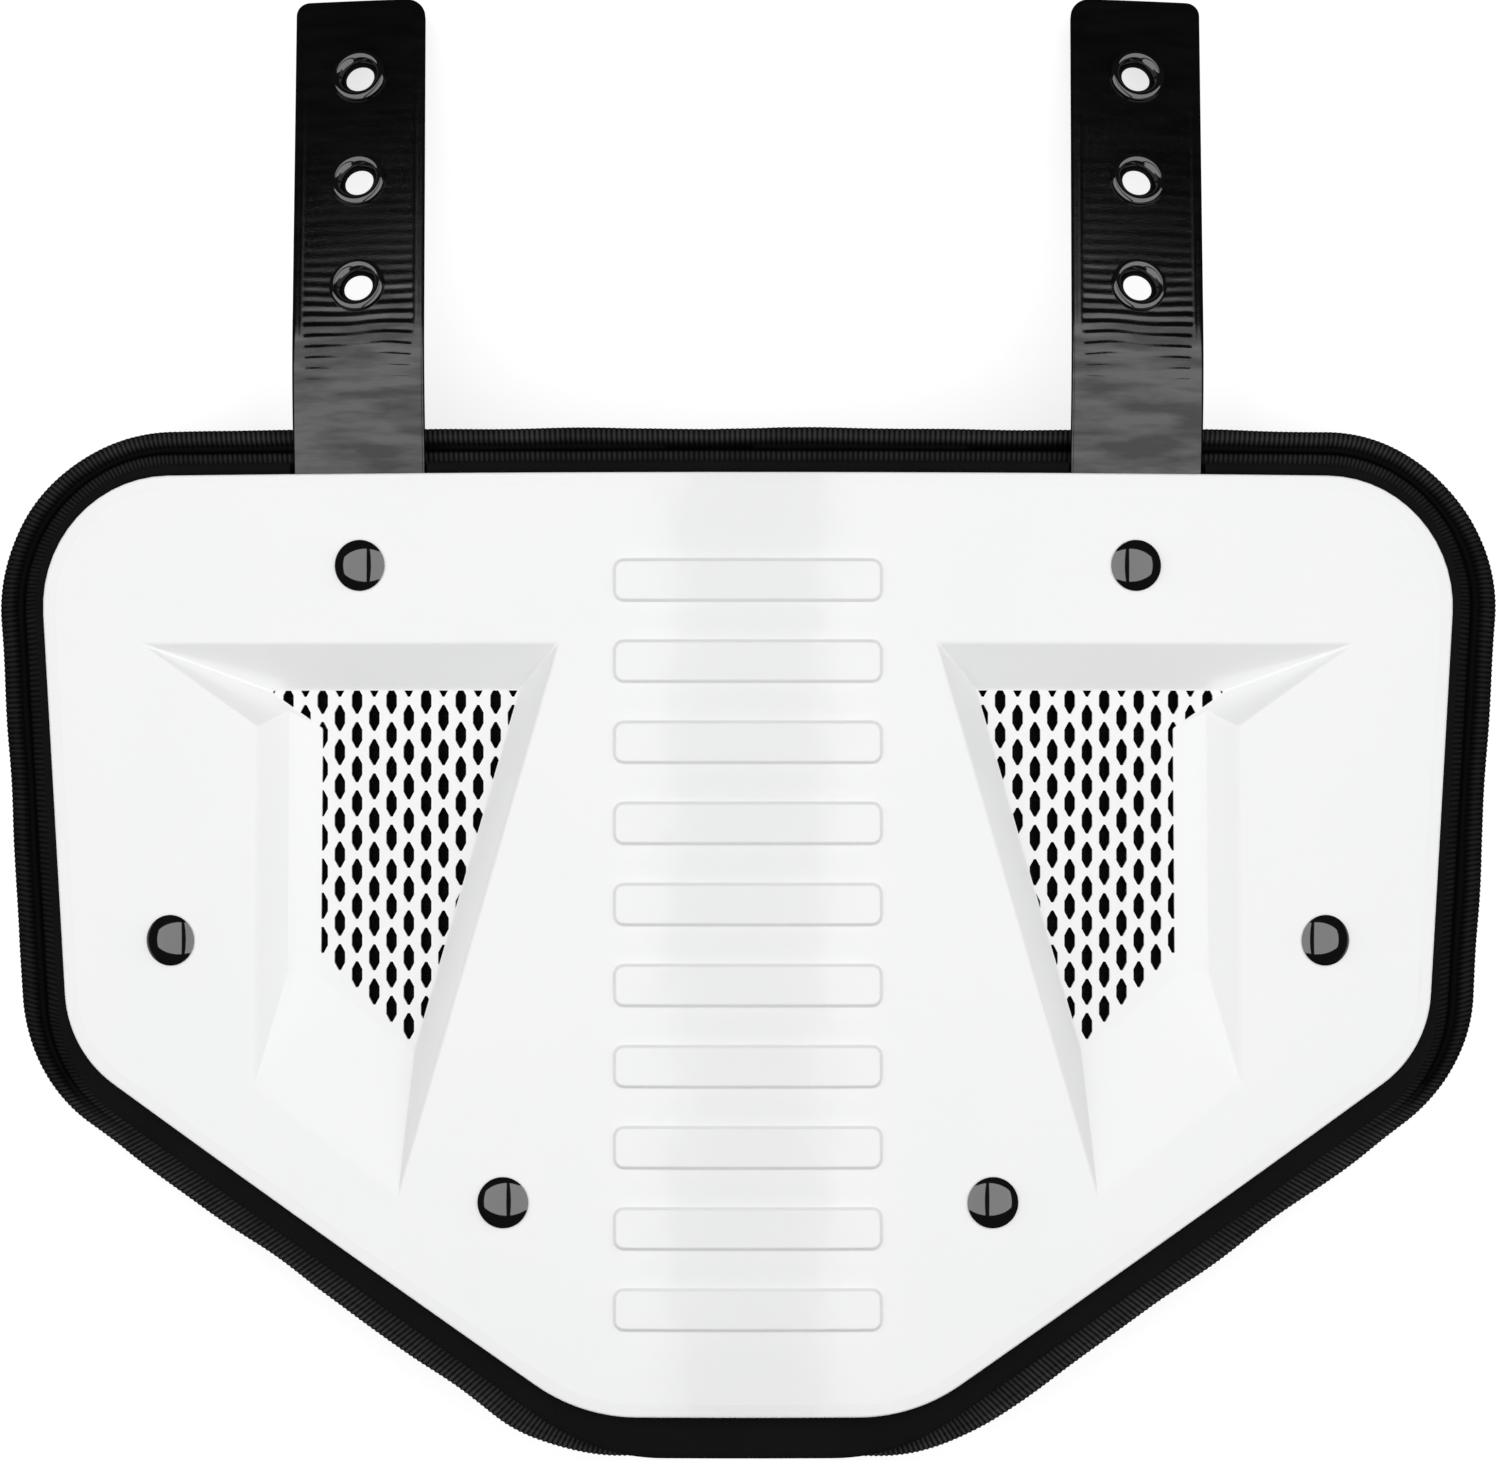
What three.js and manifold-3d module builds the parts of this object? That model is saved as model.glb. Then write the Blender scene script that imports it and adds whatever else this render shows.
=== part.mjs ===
import * as THREE from "three";
import { mergeGeometries, mergeVertices } from "three/addons/utils/BufferGeometryUtils.js";
import Module from "manifold-3d";

const wasm = await Module();
wasm.setup();

// Football back plate, lying on its pad as on a table. Millimetres, +Z up.
// The hard shell faces up, the straps point along +Y, and X runs across the back.
// Each piece is drawn flat, with z = 0 at the shell's outer face, and then folded
// over a wide cylinder whose axis runs along Y.

// Plate outline: straight top, tapering sides, long diagonals and a short foot
const plateWidth = 309;
const waistWidth = 294.2;
const footWidth = 70.8;
const plateHeight = 200.7;
const sideHeight = 124.2;
const topCornerRadius = 28;
const sideCornerRadius = 25;
const footCornerRadius = 38;
const cornerStep = THREE.MathUtils.degToRad(18);
const smallCornerStep = THREE.MathUtils.degToRad(45);

// How far a cutter runs past the face that it opens
const cutMargin = 1;

// Curve of the plate across the back
const bendRadius = 430;
const foldStart = 4;
const foldPitch = 32;
const foldSnap = 0.01;

// Shell
const shellThickness = 2.6;
const shellEdgeRound = 0.8;
const clearance = 0.3;

// Vents: recesses with sloping walls. Runs are the walls' widths in plan.
const ventDepth = 6.5;
const ventInnerRun = 5.4;
const ventLowerRun = 26.1;
const ventOuterRun = 13.7;
const ventNotchRun = 9.1;
const ventTopRun = 10.3;
const ventClearance = 0.5;

// Vent corners as shares of half the plate's width and half its height, and the run
// of the wall that starts there, counterclockwise on the right-hand vent
const ventCorners = [
  { across: 0.2593, up: 0.6408, run: ventInnerRun },
  { across: 0.4828, up: -0.5336, run: ventLowerRun },
  { across: 0.6841, up: -0.2995, run: ventOuterRun },
  { across: 0.6803, up: 0.4599, run: ventNotchRun },
  { across: 0.8485, up: 0.6408, run: ventTopRun },
];

// Lattice in the vents' floors: long hexagonal holes in staggered columns
const holeWidth = 2.06;
const holeLength = 5.53;
const holeFlat = 2.0;
const columnPitch = 3.665;
const rowPitch = 7.33;
const firstColumnInset = 0.9;
const firstRowInset = 2.35;
const latticeBorder = 1.9;

// Raised bars down the middle
const barCount = 10;
const barLength = 57;
const barWidth = 9;
const barPitch = 17.2;
const barRelief = 0.9;
const barCornerRadius = 2;
const barEdgeRound = 0.3;

// Pad. Each edge's figure is how far that layer stands out beyond the shell.
const padThickness = 12;
const padLipThickness = 2.8;
const padEdgeRound = 1.2;
const padLip = { top: 2.6, side: 2.1, diagonal: 5.5, foot: 8.5 };
const padBody = { top: 2.4, side: 1.9, diagonal: 5.3, foot: 5 };

// Edge binding: tape folded round the pad's thin rim
const tape = { top: 9.8, side: 10.9, diagonal: 11.2, foot: 9.3 };
const tapeThickness = 1.2;
const tapeEdgeRound = 1.4;
const tapeSetBack = 3.4;

// Straps
const strapWidth = 28.6;
const strapThickness = 2.8;
const strapOffset = 83.3;
const strapSplay = THREE.MathUtils.degToRad(1);
const strapEndGap = 2.2;
const strapTail = 14.2;
const strapFree = 101.3;
const strapBendRadius = 60;
const strapBendAngle = THREE.MathUtils.degToRad(22.3);
const strapBendSteps = 5;
const strapInnerCorner = 3.6;
const strapOuterCorner = 2.5;
const strapEndCorner = 1;
const channelClearance = 0.5;

// Eyelets in the straps
const eyeletPitch = 25.4;
const eyeletTipMargin = 19;
const eyeletBore = 6.8;
const eyeletMouth = 8.8;
const eyeletRim = 11;
const eyeletBarrel = 9.1;
const eyeletRimThickness = 0.8;
const eyeletSides = 12;

// Rivets, and where they stand as shares of half the plate's width and height
const rivetHead = 10.4;
const rivetHeadHeight = 2.4;
const rivetHeadEdge = 0.5;
const rivetShank = 4;
const rivetTail = 9;
const rivetTailThickness = 1.2;
const rivetTailSetBack = 0.3;
const rivetSides = 10;
const rivetDomeSteps = 3;
const sideRivet = { across: 0.8032, up: 0.004 };
const footRivet = { across: 0.3369, up: -0.5466 };

// Sizes that follow from the ones above
const halfWidth = plateWidth / 2;
const halfHeight = plateHeight / 2;
const padFront = -(shellThickness + clearance);
const padBack = padFront - padThickness;
const tapeFront = padFront - tapeSetBack;
const rimFront = tapeFront - tapeThickness - clearance;
const rimBack = padBack + tapeThickness + clearance;
const strapTop = padFront;
const ventTopY = ventCorners[4].up * halfHeight;
const strapEndY = ventTopY + strapEndGap;
const strapBendY = halfHeight + tape.top + clearance;
const rivetTopY = strapEndY + strapTail;

const shellWhite = new THREE.Color(0xf1f1f1);
const padBlack = new THREE.Color(0x111111);
const tapeBlack = new THREE.Color(0x1b1b1b);
const strapBlack = new THREE.Color(0x151515);
const rivetBlack = new THREE.Color(0x0c0c0c);

function material(color, roughness) {
  return new THREE.MeshStandardMaterial({ color, roughness, metalness: 0 });
}

// Closed polygons

function lineMeet(a, along, b, beside) {
  const cross = along.cross(beside);
  const step = new THREE.Vector2().subVectors(b, a).cross(beside) / cross;
  return a.clone().addScaledVector(along, step);
}

// Moves each edge of a counterclockwise polygon outwards by its own distance
function growPolygon(points, distances) {
  const edges = points.map((point, i) => {
    const along = new THREE.Vector2().subVectors(points[(i + 1) % points.length], point).normalize();
    const outward = new THREE.Vector2(along.y, -along.x);
    return { start: point.clone().addScaledVector(outward, distances[i]), along };
  });
  return edges.map((edge, i) => {
    const before = edges[(i + edges.length - 1) % edges.length];
    return lineMeet(before.start, before.along, edge.start, edge.along);
  });
}

// Replaces each corner of a counterclockwise convex polygon by an arc
function roundPolygon(points, radii, stepAngle = cornerStep) {
  return points.flatMap((corner, i) => {
    const before = points[(i + points.length - 1) % points.length];
    const after = points[(i + 1) % points.length];
    const inward = new THREE.Vector2().subVectors(corner, before).normalize();
    const onward = new THREE.Vector2().subVectors(after, corner).normalize();
    const turn = Math.acos(inward.dot(onward));
    const start = corner.clone().addScaledVector(inward, -radii[i] * Math.tan(turn / 2));
    const centre = start.clone().addScaledVector(new THREE.Vector2(-inward.y, inward.x), radii[i]);
    const steps = Math.max(2, Math.round(turn / stepAngle));
    return Array.from({ length: steps + 1 }, (_, k) => {
      return start.clone().rotateAround(centre, (turn * k) / steps);
    });
  });
}

function plateOutline(grow) {
  const topY = halfHeight;
  const waistY = halfHeight - sideHeight;
  const corners = [
    new THREE.Vector2(halfWidth, topY),
    new THREE.Vector2(-halfWidth, topY),
    new THREE.Vector2(-waistWidth / 2, waistY),
    new THREE.Vector2(-footWidth / 2, -halfHeight),
    new THREE.Vector2(footWidth / 2, -halfHeight),
    new THREE.Vector2(waistWidth / 2, waistY),
  ];
  const { top, side, diagonal, foot } = grow;
  const topRadius = topCornerRadius + (top + side) / 2;
  const sideRadius = sideCornerRadius + (side + diagonal) / 2;
  const footRadius = footCornerRadius + (diagonal + foot) / 2;
  const grown = growPolygon(corners, [top, side, diagonal, foot, diagonal, side]);
  return roundPolygon(grown, [topRadius, topRadius, sideRadius, footRadius, footRadius, sideRadius]);
}

// A place given as shares of half the plate's width and half its height
function onPlate({ across, up }) {
  return new THREE.Vector2(across * halfWidth, up * halfHeight);
}

function widen(grow, extra) {
  return {
    top: grow.top + extra,
    side: grow.side + extra,
    diagonal: grow.diagonal + extra,
    foot: grow.foot + extra,
  };
}

// The vent's section at a depth below the shell's face, on the right (1) or left (-1)
function ventLoop(side, depth) {
  const outline = ventCorners.map(onPlate);
  const runs = ventCorners.map(({ run }) => (-run * depth) / ventDepth);
  const loop = growPolygon(outline, runs);
  return side > 0 ? loop : loop.map(({ x, y }) => new THREE.Vector2(-x, y)).reverse();
}

function isInside(point, polygon) {
  return polygon.every((corner, i) => {
    const after = polygon[(i + 1) % polygon.length];
    const before = polygon[(i + polygon.length - 1) % polygon.length];
    const along = new THREE.Vector2().subVectors(after, corner).normalize();
    const across = new THREE.Vector2().subVectors(point, corner);
    const isNotch = new THREE.Vector2().subVectors(corner, before).cross(along) < 0;
    return along.cross(across) > latticeBorder || (isNotch && point.y < corner.y);
  });
}

// Solids

function toSolid(geometry) {
  const bare = geometry.clone();
  bare.deleteAttribute("normal");
  bare.deleteAttribute("uv");
  const merged = mergeVertices(bare);
  const corners = merged.index.array;
  const faces = [];
  for (let i = 0; i < corners.length; i += 3) {
    const [a, b, c] = corners.slice(i, i + 3);
    if (a !== b && b !== c && c !== a) {
      faces.push(a, b, c);
    }
  }
  return new wasm.Manifold(new wasm.Mesh({
    numProp: 3,
    vertProperties: merged.attributes.position.array,
    triVerts: Uint32Array.from(faces),
  }));
}

function toGeometry(solid) {
  const { vertProperties, triVerts } = solid.getMesh();
  const geometry = new THREE.BufferGeometry();
  geometry.setAttribute("position", new THREE.BufferAttribute(vertProperties, 3));
  geometry.setIndex(new THREE.BufferAttribute(triVerts, 1));
  return geometry;
}

function toMesh(name, solid, finish) {
  const geometry = toGeometry(solid);
  geometry.computeVertexNormals();
  const mesh = new THREE.Mesh(geometry, finish);
  mesh.name = name;
  return mesh;
}

// An upright prism between two heights, its end edges rounded by the given size
function prism(outline, low, high, round = 0) {
  const geometry = new THREE.ExtrudeGeometry(new THREE.Shape(outline), {
    depth: high - low - 2 * round,
    bevelEnabled: round > 0,
    bevelThickness: round,
    bevelSize: round,
    bevelOffset: -round,
    bevelSegments: 1,
  });
  return geometry.translate(0, 0, low + round);
}

// A prism whose lower end is drawn in to another loop of as many corners
function taperedPrism(upperLoop, lowerLoop, low, high) {
  const geometry = prism(upperLoop, low, high);
  const places = geometry.attributes.position;
  const middle = (low + high) / 2;
  for (let i = 0; i < places.count; i += 1) {
    if (places.getZ(i) < middle) {
      const corner = new THREE.Vector2(places.getX(i), places.getY(i));
      const distances = upperLoop.map((point) => point.distanceTo(corner));
      const target = lowerLoop[distances.indexOf(Math.min(...distances))];
      places.setXY(i, target.x, target.y);
    }
  }
  return geometry;
}

// A vent's hollow, lowered by some distance and cut off a little above its rim
function ventHollow(side, lowered) {
  const upper = ventLoop(side, -cutMargin);
  const lower = ventLoop(side, ventDepth);
  return fold(taperedPrism(upper, lower, -ventDepth - lowered, cutMargin - lowered));
}

// Fold over the back's cylinder: creases along Y with flat strips between them

function arcDrop(x) {
  return bendRadius - Math.sqrt(bendRadius ** 2 - x ** 2);
}

function arcStretch(x) {
  return bendRadius / Math.sqrt(bendRadius ** 2 - x ** 2);
}

// Reads a curve along its chords from crease to crease
function alongChords(curve, x) {
  const strips = Math.max(0, Math.ceil((Math.abs(x) - foldStart) / foldPitch));
  const outer = foldStart + strips * foldPitch;
  const inner = strips === 0 ? outer : outer - foldPitch;
  const share = strips === 0 ? 0 : (Math.abs(x) - inner) / foldPitch;
  return THREE.MathUtils.lerp(curve(inner), curve(outer), share);
}

function creases(reach) {
  const count = Math.ceil((reach - foldStart) / foldPitch) + 1;
  const outward = Array.from({ length: count }, (_, i) => foldStart + i * foldPitch);
  return [...outward.map((x) => -x).reverse(), ...outward];
}

// Folds a flat body strip by strip and joins the strips again. With keepDepth its depths
// stay, so that slanting faces stay flat.
function fold(geometry, keepDepth = false) {
  const flat = toSolid(geometry);
  const lines = creases(halfWidth + tape.side);
  const strips = lines.slice(1).map((outer, i) => {
    const inner = lines[i];
    const block = new THREE.BoxGeometry(outer - inner, 4 * plateHeight, plateHeight);
    const strip = flat.intersect(toSolid(block.translate((inner + outer) / 2, 0, 0)));
    const bent = toGeometry(strip);
    const places = bent.attributes.position;
    for (let k = 0; k < places.count; k += 1) {
      const x = places.getX(k);
      const stretch = keepDepth ? 1 : alongChords(arcStretch, x);
      places.setZ(k, places.getZ(k) * stretch - alongChords(arcDrop, x));
    }
    return bent;
  });
  const solids = strips.filter((bent) => bent.index.count > 0).map(toSolid);
  return solids.reduce((whole, strip) => whole.add(strip));
}

// Where a round piece sits on the folded surface: z is measured along the surface's normal,
// and pitch is how steeply the surface falls towards +Y
function seatOn(x, y, z, pitch = 0) {
  const step = foldSnap;
  const slope = (alongChords(arcDrop, x + step) - alongChords(arcDrop, x - step)) / (2 * step);
  const normal = new THREE.Vector3(slope, Math.tan(pitch), 1).normalize();
  const turn = new THREE.Quaternion().setFromUnitVectors(new THREE.Vector3(0, 0, 1), normal);
  return { place: new THREE.Vector3(x, y, z - alongChords(arcDrop, x)), turn };
}

function put(object, seat) {
  object.position.copy(seat.place);
  object.quaternion.copy(seat.turn);
  return object;
}

// A round cutter along a seat's normal, between two heights there
function boreAt(seat, diameter, low, high, sides) {
  const cutter = new THREE.CylinderGeometry(diameter / 2, diameter / 2, high - low, sides);
  cutter.rotateX(Math.PI / 2);
  cutter.translate(0, 0, (low + high) / 2);
  cutter.applyQuaternion(seat.turn);
  cutter.translate(seat.place.x, seat.place.y, seat.place.z);
  return toSolid(cutter);
}

// A body of revolution from radius and height pairs listed from the bottom up
function turned(profile, sides) {
  const points = profile.map(([radius, height]) => new THREE.Vector2(radius, height));
  return toSolid(new THREE.LatheGeometry(points, sides).rotateX(Math.PI / 2));
}

// Shell

function hexagonHole(centre) {
  const half = holeWidth / 2;
  const end = holeLength / 2;
  const flat = holeFlat / 2;
  const outline = [[0, -end], [half, -flat], [half, flat], [0, end], [-half, flat], [-half, -flat]];
  return outline.map(([x, y]) => new THREE.Vector2(centre.x + x, centre.y + y));
}

// Whole holes that fit on the right-hand vent's floor
function latticeHoles() {
  const floor = ventLoop(1, ventDepth);
  const outerX = Math.max(floor[2].x, floor[3].x);
  const innerX = Math.min(...floor.map(({ x }) => x));
  const topY = floor[0].y - firstRowInset;
  const lowY = Math.min(...floor.map(({ y }) => y));
  const holes = [];
  const columns = Math.floor((outerX - firstColumnInset - innerX) / columnPitch);
  const rows = Math.floor((topY - lowY) / rowPitch);
  for (let column = 0; column <= columns; column += 1) {
    for (let row = 0; row <= rows; row += 1) {
      const stagger = column % 2 === 0 ? 0 : rowPitch / 2;
      const x = outerX - firstColumnInset - column * columnPitch;
      const hole = hexagonHole({ x, y: topY - stagger - row * rowPitch });
      if (hole.every((corner) => isInside(corner, floor))) {
        holes.push(hole);
      }
    }
  }
  return holes;
}

function raisedBars() {
  const middle = (barPitch * (barCount - 1)) / 2;
  const outline = [[1, 1], [-1, 1], [-1, -1], [1, -1]].map(([x, y]) => {
    return new THREE.Vector2((x * barLength) / 2, (y * barWidth) / 2);
  });
  const rounded = roundPolygon(outline, Array(4).fill(barCornerRadius), smallCornerStep);
  const bars = Array.from({ length: barCount }, (_, i) => {
    const bar = prism(rounded, -shellThickness / 2, barRelief, barEdgeRound);
    return bar.translate(0, i * barPitch - middle, 0);
  });
  return fold(mergeGeometries(bars));
}

function shell(rivetSeats) {
  const outline = plateOutline({ top: 0, side: 0, diagonal: 0, foot: 0 });
  let plate = fold(prism(outline, -shellThickness, 0, shellEdgeRound)).add(raisedBars());
  for (const side of [1, -1]) {
    const holes = latticeHoles().map((hole) => {
      const placed = hole.map(({ x, y }) => new THREE.Vector2(side * x, y));
      return prism(placed, -ventDepth - 2 * shellThickness, -ventDepth + shellThickness);
    });
    plate = plate.add(ventHollow(side, shellThickness)).subtract(ventHollow(side, 0));
    plate = plate.subtract(fold(mergeGeometries(holes)));
  }
  const bore = rivetShank + 2 * clearance;
  return rivetSeats.reduce((solid, seat) => {
    return solid.subtract(boreAt(seat, bore, padBack, rivetHeadHeight, rivetSides));
  }, plate);
}

// Pad and its binding

function strapFrame(side, geometry) {
  return geometry.rotateZ(-side * strapSplay).translate(side * strapOffset, strapBendY, 0);
}

function pad(rivetSeats) {
  const rim = widen(tape, -tapeThickness - clearance);
  let cushion = fold(prism(plateOutline(padLip), padFront - padLipThickness, padFront, padEdgeRound));
  cushion = cushion.add(fold(prism(plateOutline(padBody), padBack, padFront - padEdgeRound)));
  cushion = cushion.add(fold(prism(plateOutline(rim), rimBack, rimFront)));
  for (const side of [1, -1]) {
    cushion = cushion.subtract(ventHollow(side, shellThickness + ventClearance));
    const length = strapBendY - strapEndY + 2 * channelClearance;
    const depth = strapThickness + 2 * clearance;
    const channel = new THREE.BoxGeometry(strapWidth + 2 * channelClearance, length, depth);
    channel.translate(0, channelClearance - length / 2 + channelClearance, strapTop + clearance - depth / 2);
    cushion = cushion.subtract(fold(strapFrame(side, channel)));
  }
  const tailTop = padBack + rivetTailSetBack + rivetTailThickness + clearance;
  return rivetSeats.reduce((solid, seat) => {
    const bore = boreAt(seat, rivetShank + 2 * clearance, 2 * padBack, rivetHeadHeight, rivetSides);
    const dimple = boreAt(seat, rivetTail + 2 * clearance, 2 * padBack, tailTop, rivetSides);
    return solid.subtract(bore).subtract(dimple);
  }, cushion);
}

function edgeBinding() {
  const outside = prism(plateOutline(tape), padBack, tapeFront, tapeEdgeRound);
  const inside = plateOutline(widen(tape, -tapeThickness));
  const rimSpace = prism(inside, rimBack - clearance, rimFront + clearance);
  const middle = prism(plateOutline(widen(padBody, clearance)), 2 * padBack, 0);
  return fold(outside).subtract(fold(rimSpace)).subtract(fold(middle));
}

// Straps

// A point of the strap's middle surface at a distance from its bend's start, lifted off it
function strapPoint(distance, lift) {
  const bendLength = strapBendRadius * strapBendAngle;
  const turned = THREE.MathUtils.clamp(distance, 0, bendLength) / strapBendRadius;
  const before = Math.min(distance, 0);
  const beyond = Math.max(distance - bendLength, 0);
  const y = before + strapBendRadius * Math.sin(turned) + beyond * Math.cos(turned);
  const z = strapBendRadius * (Math.cos(turned) - 1) - beyond * Math.sin(turned);
  const middle = strapTop - strapThickness / 2;
  return { y: y + lift * Math.sin(turned), z: middle + z + lift * Math.cos(turned), pitch: turned };
}

function strapSeat(side, distance) {
  const { y, z, pitch } = strapPoint(distance, 0);
  const x = side * (strapOffset + y * Math.sin(strapSplay));
  return seatOn(x, strapBendY + y * Math.cos(strapSplay), z, pitch);
}

function eyeletSeats(side) {
  return [0, 1, 2].map((i) => strapSeat(side, strapFree - eyeletTipMargin - i * eyeletPitch));
}

function strap(side, rivetSeat) {
  const bendLength = strapBendRadius * strapBendAngle;
  const bend = Array.from({ length: strapBendSteps + 1 }, (_, i) => (bendLength * i) / strapBendSteps);
  const stations = [strapEndY - strapBendY, ...bend, strapFree];
  const half = strapThickness / 2;
  const upper = stations.map((distance) => strapPoint(distance, half));
  const lower = stations.map((distance) => strapPoint(distance, -half)).reverse();
  const profile = [...upper, ...lower].map(({ y, z }) => new THREE.Vector2(y, z));
  const band = prism(profile, -strapWidth / 2, strapWidth / 2);
  band.rotateX(Math.PI / 2);
  band.rotateZ(Math.PI / 2);
  const tipY = Math.max(...profile.map(({ x }) => x));
  const endY = strapEndY - strapBendY;
  const corners = [[1, tipY], [-1, tipY], [-1, endY], [1, endY]].map(([x, y]) => {
    return new THREE.Vector2((x * strapWidth) / 2, y);
  });
  const tipCorners = side > 0 ? [strapOuterCorner, strapInnerCorner] : [strapInnerCorner, strapOuterCorner];
  const cornerRadii = [...tipCorners, strapEndCorner, strapEndCorner];
  const outline = roundPolygon(corners, cornerRadii, smallCornerStep);
  const trimmed = toSolid(band).intersect(toSolid(prism(outline, -strapFree, strapFree)));
  let solid = fold(strapFrame(side, toGeometry(trimmed)), true);
  for (const seat of eyeletSeats(side)) {
    solid = solid.subtract(boreAt(seat, eyeletBarrel + 2 * clearance, -strapWidth, strapWidth, eyeletSides));
  }
  return solid.subtract(boreAt(rivetSeat, rivetShank + 2 * clearance, padBack, 0, rivetSides));
}

// A rolled eyelet, waisted inside, its rims a little off the strap's two faces
function eyelet() {
  const face = strapThickness / 2 + clearance;
  const end = face + eyeletRimThickness;
  const bore = eyeletBore / 2;
  const mouth = eyeletMouth / 2;
  const rim = eyeletRim / 2;
  const barrel = eyeletBarrel / 2;
  const profile = [
    [bore, 0],
    [mouth, -end],
    [rim, -end],
    [rim, -face],
    [barrel, -face],
    [barrel, face],
    [rim, face],
    [rim, end],
    [mouth, end],
    [bore, 0],
  ];
  return turned(profile, eyeletSides);
}

// Rivets: domed head, shank and flat tail, with z = 0 at the shell's face
function rivet() {
  const tailBottom = padBack + rivetTailSetBack;
  const tailTop = tailBottom + rivetTailThickness;
  const edgeTop = clearance + rivetHeadEdge;
  const dome = Array.from({ length: rivetDomeSteps + 1 }, (_, i) => {
    const angle = (Math.PI / 2) * (i / rivetDomeSteps);
    const rise = (rivetHeadHeight - edgeTop) * Math.sin(angle);
    return [(rivetHead / 2) * Math.cos(angle), edgeTop + rise];
  });
  dome[rivetDomeSteps][0] = 0;
  const profile = [
    [0, tailBottom],
    [rivetTail / 2, tailBottom],
    [rivetTail / 2, tailTop],
    [rivetShank / 2, tailTop],
    [rivetShank / 2, clearance],
    [rivetHead / 2, clearance],
    ...dome,
  ];
  return turned(profile, rivetSides);
}

// Assembly

function build() {
  const finishes = {
    shell: material(shellWhite, 0.3),
    pad: material(padBlack, 0.9),
    tape: material(tapeBlack, 0.8),
    strap: material(strapBlack, 0.35),
    rivet: material(rivetBlack, 0.2),
  };
  const plate = new THREE.Group();
  const sides = [{ word: "left", sign: -1 }, { word: "right", sign: 1 }];
  const strapX = strapOffset - (strapBendY - rivetTopY) * Math.sin(strapSplay);
  const rivetPlaces = [
    { row: "top", x: strapX, y: rivetTopY },
    { row: "side", ...onPlate(sideRivet) },
    { row: "bottom", ...onPlate(footRivet) },
  ];
  const rivets = sides.flatMap(({ word, sign }) => rivetPlaces.map(({ row, x, y }) => {
    return { name: `rivet_${row}_${word}`, seat: seatOn(sign * x, y, 0) };
  }));
  const rivetSeats = rivets.map(({ seat }) => seat);
  plate.add(toMesh("shell", shell(rivetSeats), finishes.shell));
  plate.add(toMesh("pad", pad(rivetSeats), finishes.pad));
  plate.add(toMesh("edge_binding", edgeBinding(), finishes.tape));
  for (const { word, sign } of sides) {
    const topRivet = rivets.find(({ name }) => name === `rivet_top_${word}`);
    plate.add(toMesh(`strap_${word}`, strap(sign, topRivet.seat), finishes.strap));
    eyeletSeats(sign).forEach((seat, i) => {
      plate.add(put(toMesh(`eyelet_${word}_${i + 1}`, eyelet(), finishes.strap), seat));
    });
  }
  for (const { name, seat } of rivets) {
    plate.add(put(toMesh(name, rivet(), finishes.rivet), seat));
  }
  return plate;
}

// Lays the plate down on its two side edges: they taper, so it pitches up a little
function layDown(plate) {
  const [outerTop, waist] = [halfWidth, waistWidth / 2].map((x) => x + tape.side);
  const lowTop = padBack * alongChords(arcStretch, outerTop) - alongChords(arcDrop, outerTop);
  const lowWaist = padBack * alongChords(arcStretch, waist) - alongChords(arcDrop, waist);
  plate.rotation.x = Math.atan2(lowWaist - lowTop, sideHeight);
  plate.updateMatrixWorld(true);
  const box = new THREE.Box3().setFromObject(plate, true);
  const middle = box.getCenter(new THREE.Vector3());
  plate.position.set(-middle.x, -middle.y, -box.min.z);
  return plate;
}

const group = new THREE.Group();
group.add(layDown(build()));
export default group;
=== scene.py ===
import math

import bmesh
import bpy
import numpy as np
from mathutils import Matrix, Vector, noise


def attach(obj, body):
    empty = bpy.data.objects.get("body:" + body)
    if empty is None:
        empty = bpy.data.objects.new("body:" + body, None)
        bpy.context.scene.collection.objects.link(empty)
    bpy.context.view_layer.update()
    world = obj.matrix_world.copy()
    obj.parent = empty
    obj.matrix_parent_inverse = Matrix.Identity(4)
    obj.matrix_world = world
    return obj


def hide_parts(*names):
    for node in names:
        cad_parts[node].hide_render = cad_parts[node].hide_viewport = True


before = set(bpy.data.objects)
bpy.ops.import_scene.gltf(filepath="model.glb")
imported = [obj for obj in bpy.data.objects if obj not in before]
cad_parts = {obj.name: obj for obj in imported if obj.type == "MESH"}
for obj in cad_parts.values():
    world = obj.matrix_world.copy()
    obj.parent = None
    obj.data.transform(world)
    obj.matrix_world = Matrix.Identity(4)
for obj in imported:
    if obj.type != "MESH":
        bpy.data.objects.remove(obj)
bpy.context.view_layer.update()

# Football back plate: each piece is modelled flat, then bent and laid down as the frame is.
# Metres. Flat coordinates: X across the back, Y towards the straps, z = 0 at the shell's face.
MM = 0.001

# Plate outline
HALF_WIDTH = 154.5 * MM
WAIST_HALF_WIDTH = 147.1 * MM
FOOT_HALF_WIDTH = 35.4 * MM
HALF_HEIGHT = 100.35 * MM
SIDE_HEIGHT = 124.2 * MM
TOP_CORNER = 28 * MM
SIDE_CORNER = 25 * MM
FOOT_CORNER = 38 * MM

# How the flat model is bent and laid down
BEND_RADIUS = 430 * MM
LAY_PITCH = math.radians(1.36586)
LAY_SHIFT = Vector((0, -48.794 * MM, 46.348 * MM))

# Shell
SHELL_THICKNESS = 2.6 * MM
SHELL_LIP = 0.55 * MM
SHELL_BEVEL = 2.5 * MM
SHELL_BEVEL_DROP = 0.45 * MM
SHELL_BACK_INSET = 0.5 * MM
SHELL_BACK_RISE = 0.4 * MM
SHELL_SMOOTH_ANGLE = 32
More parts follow.
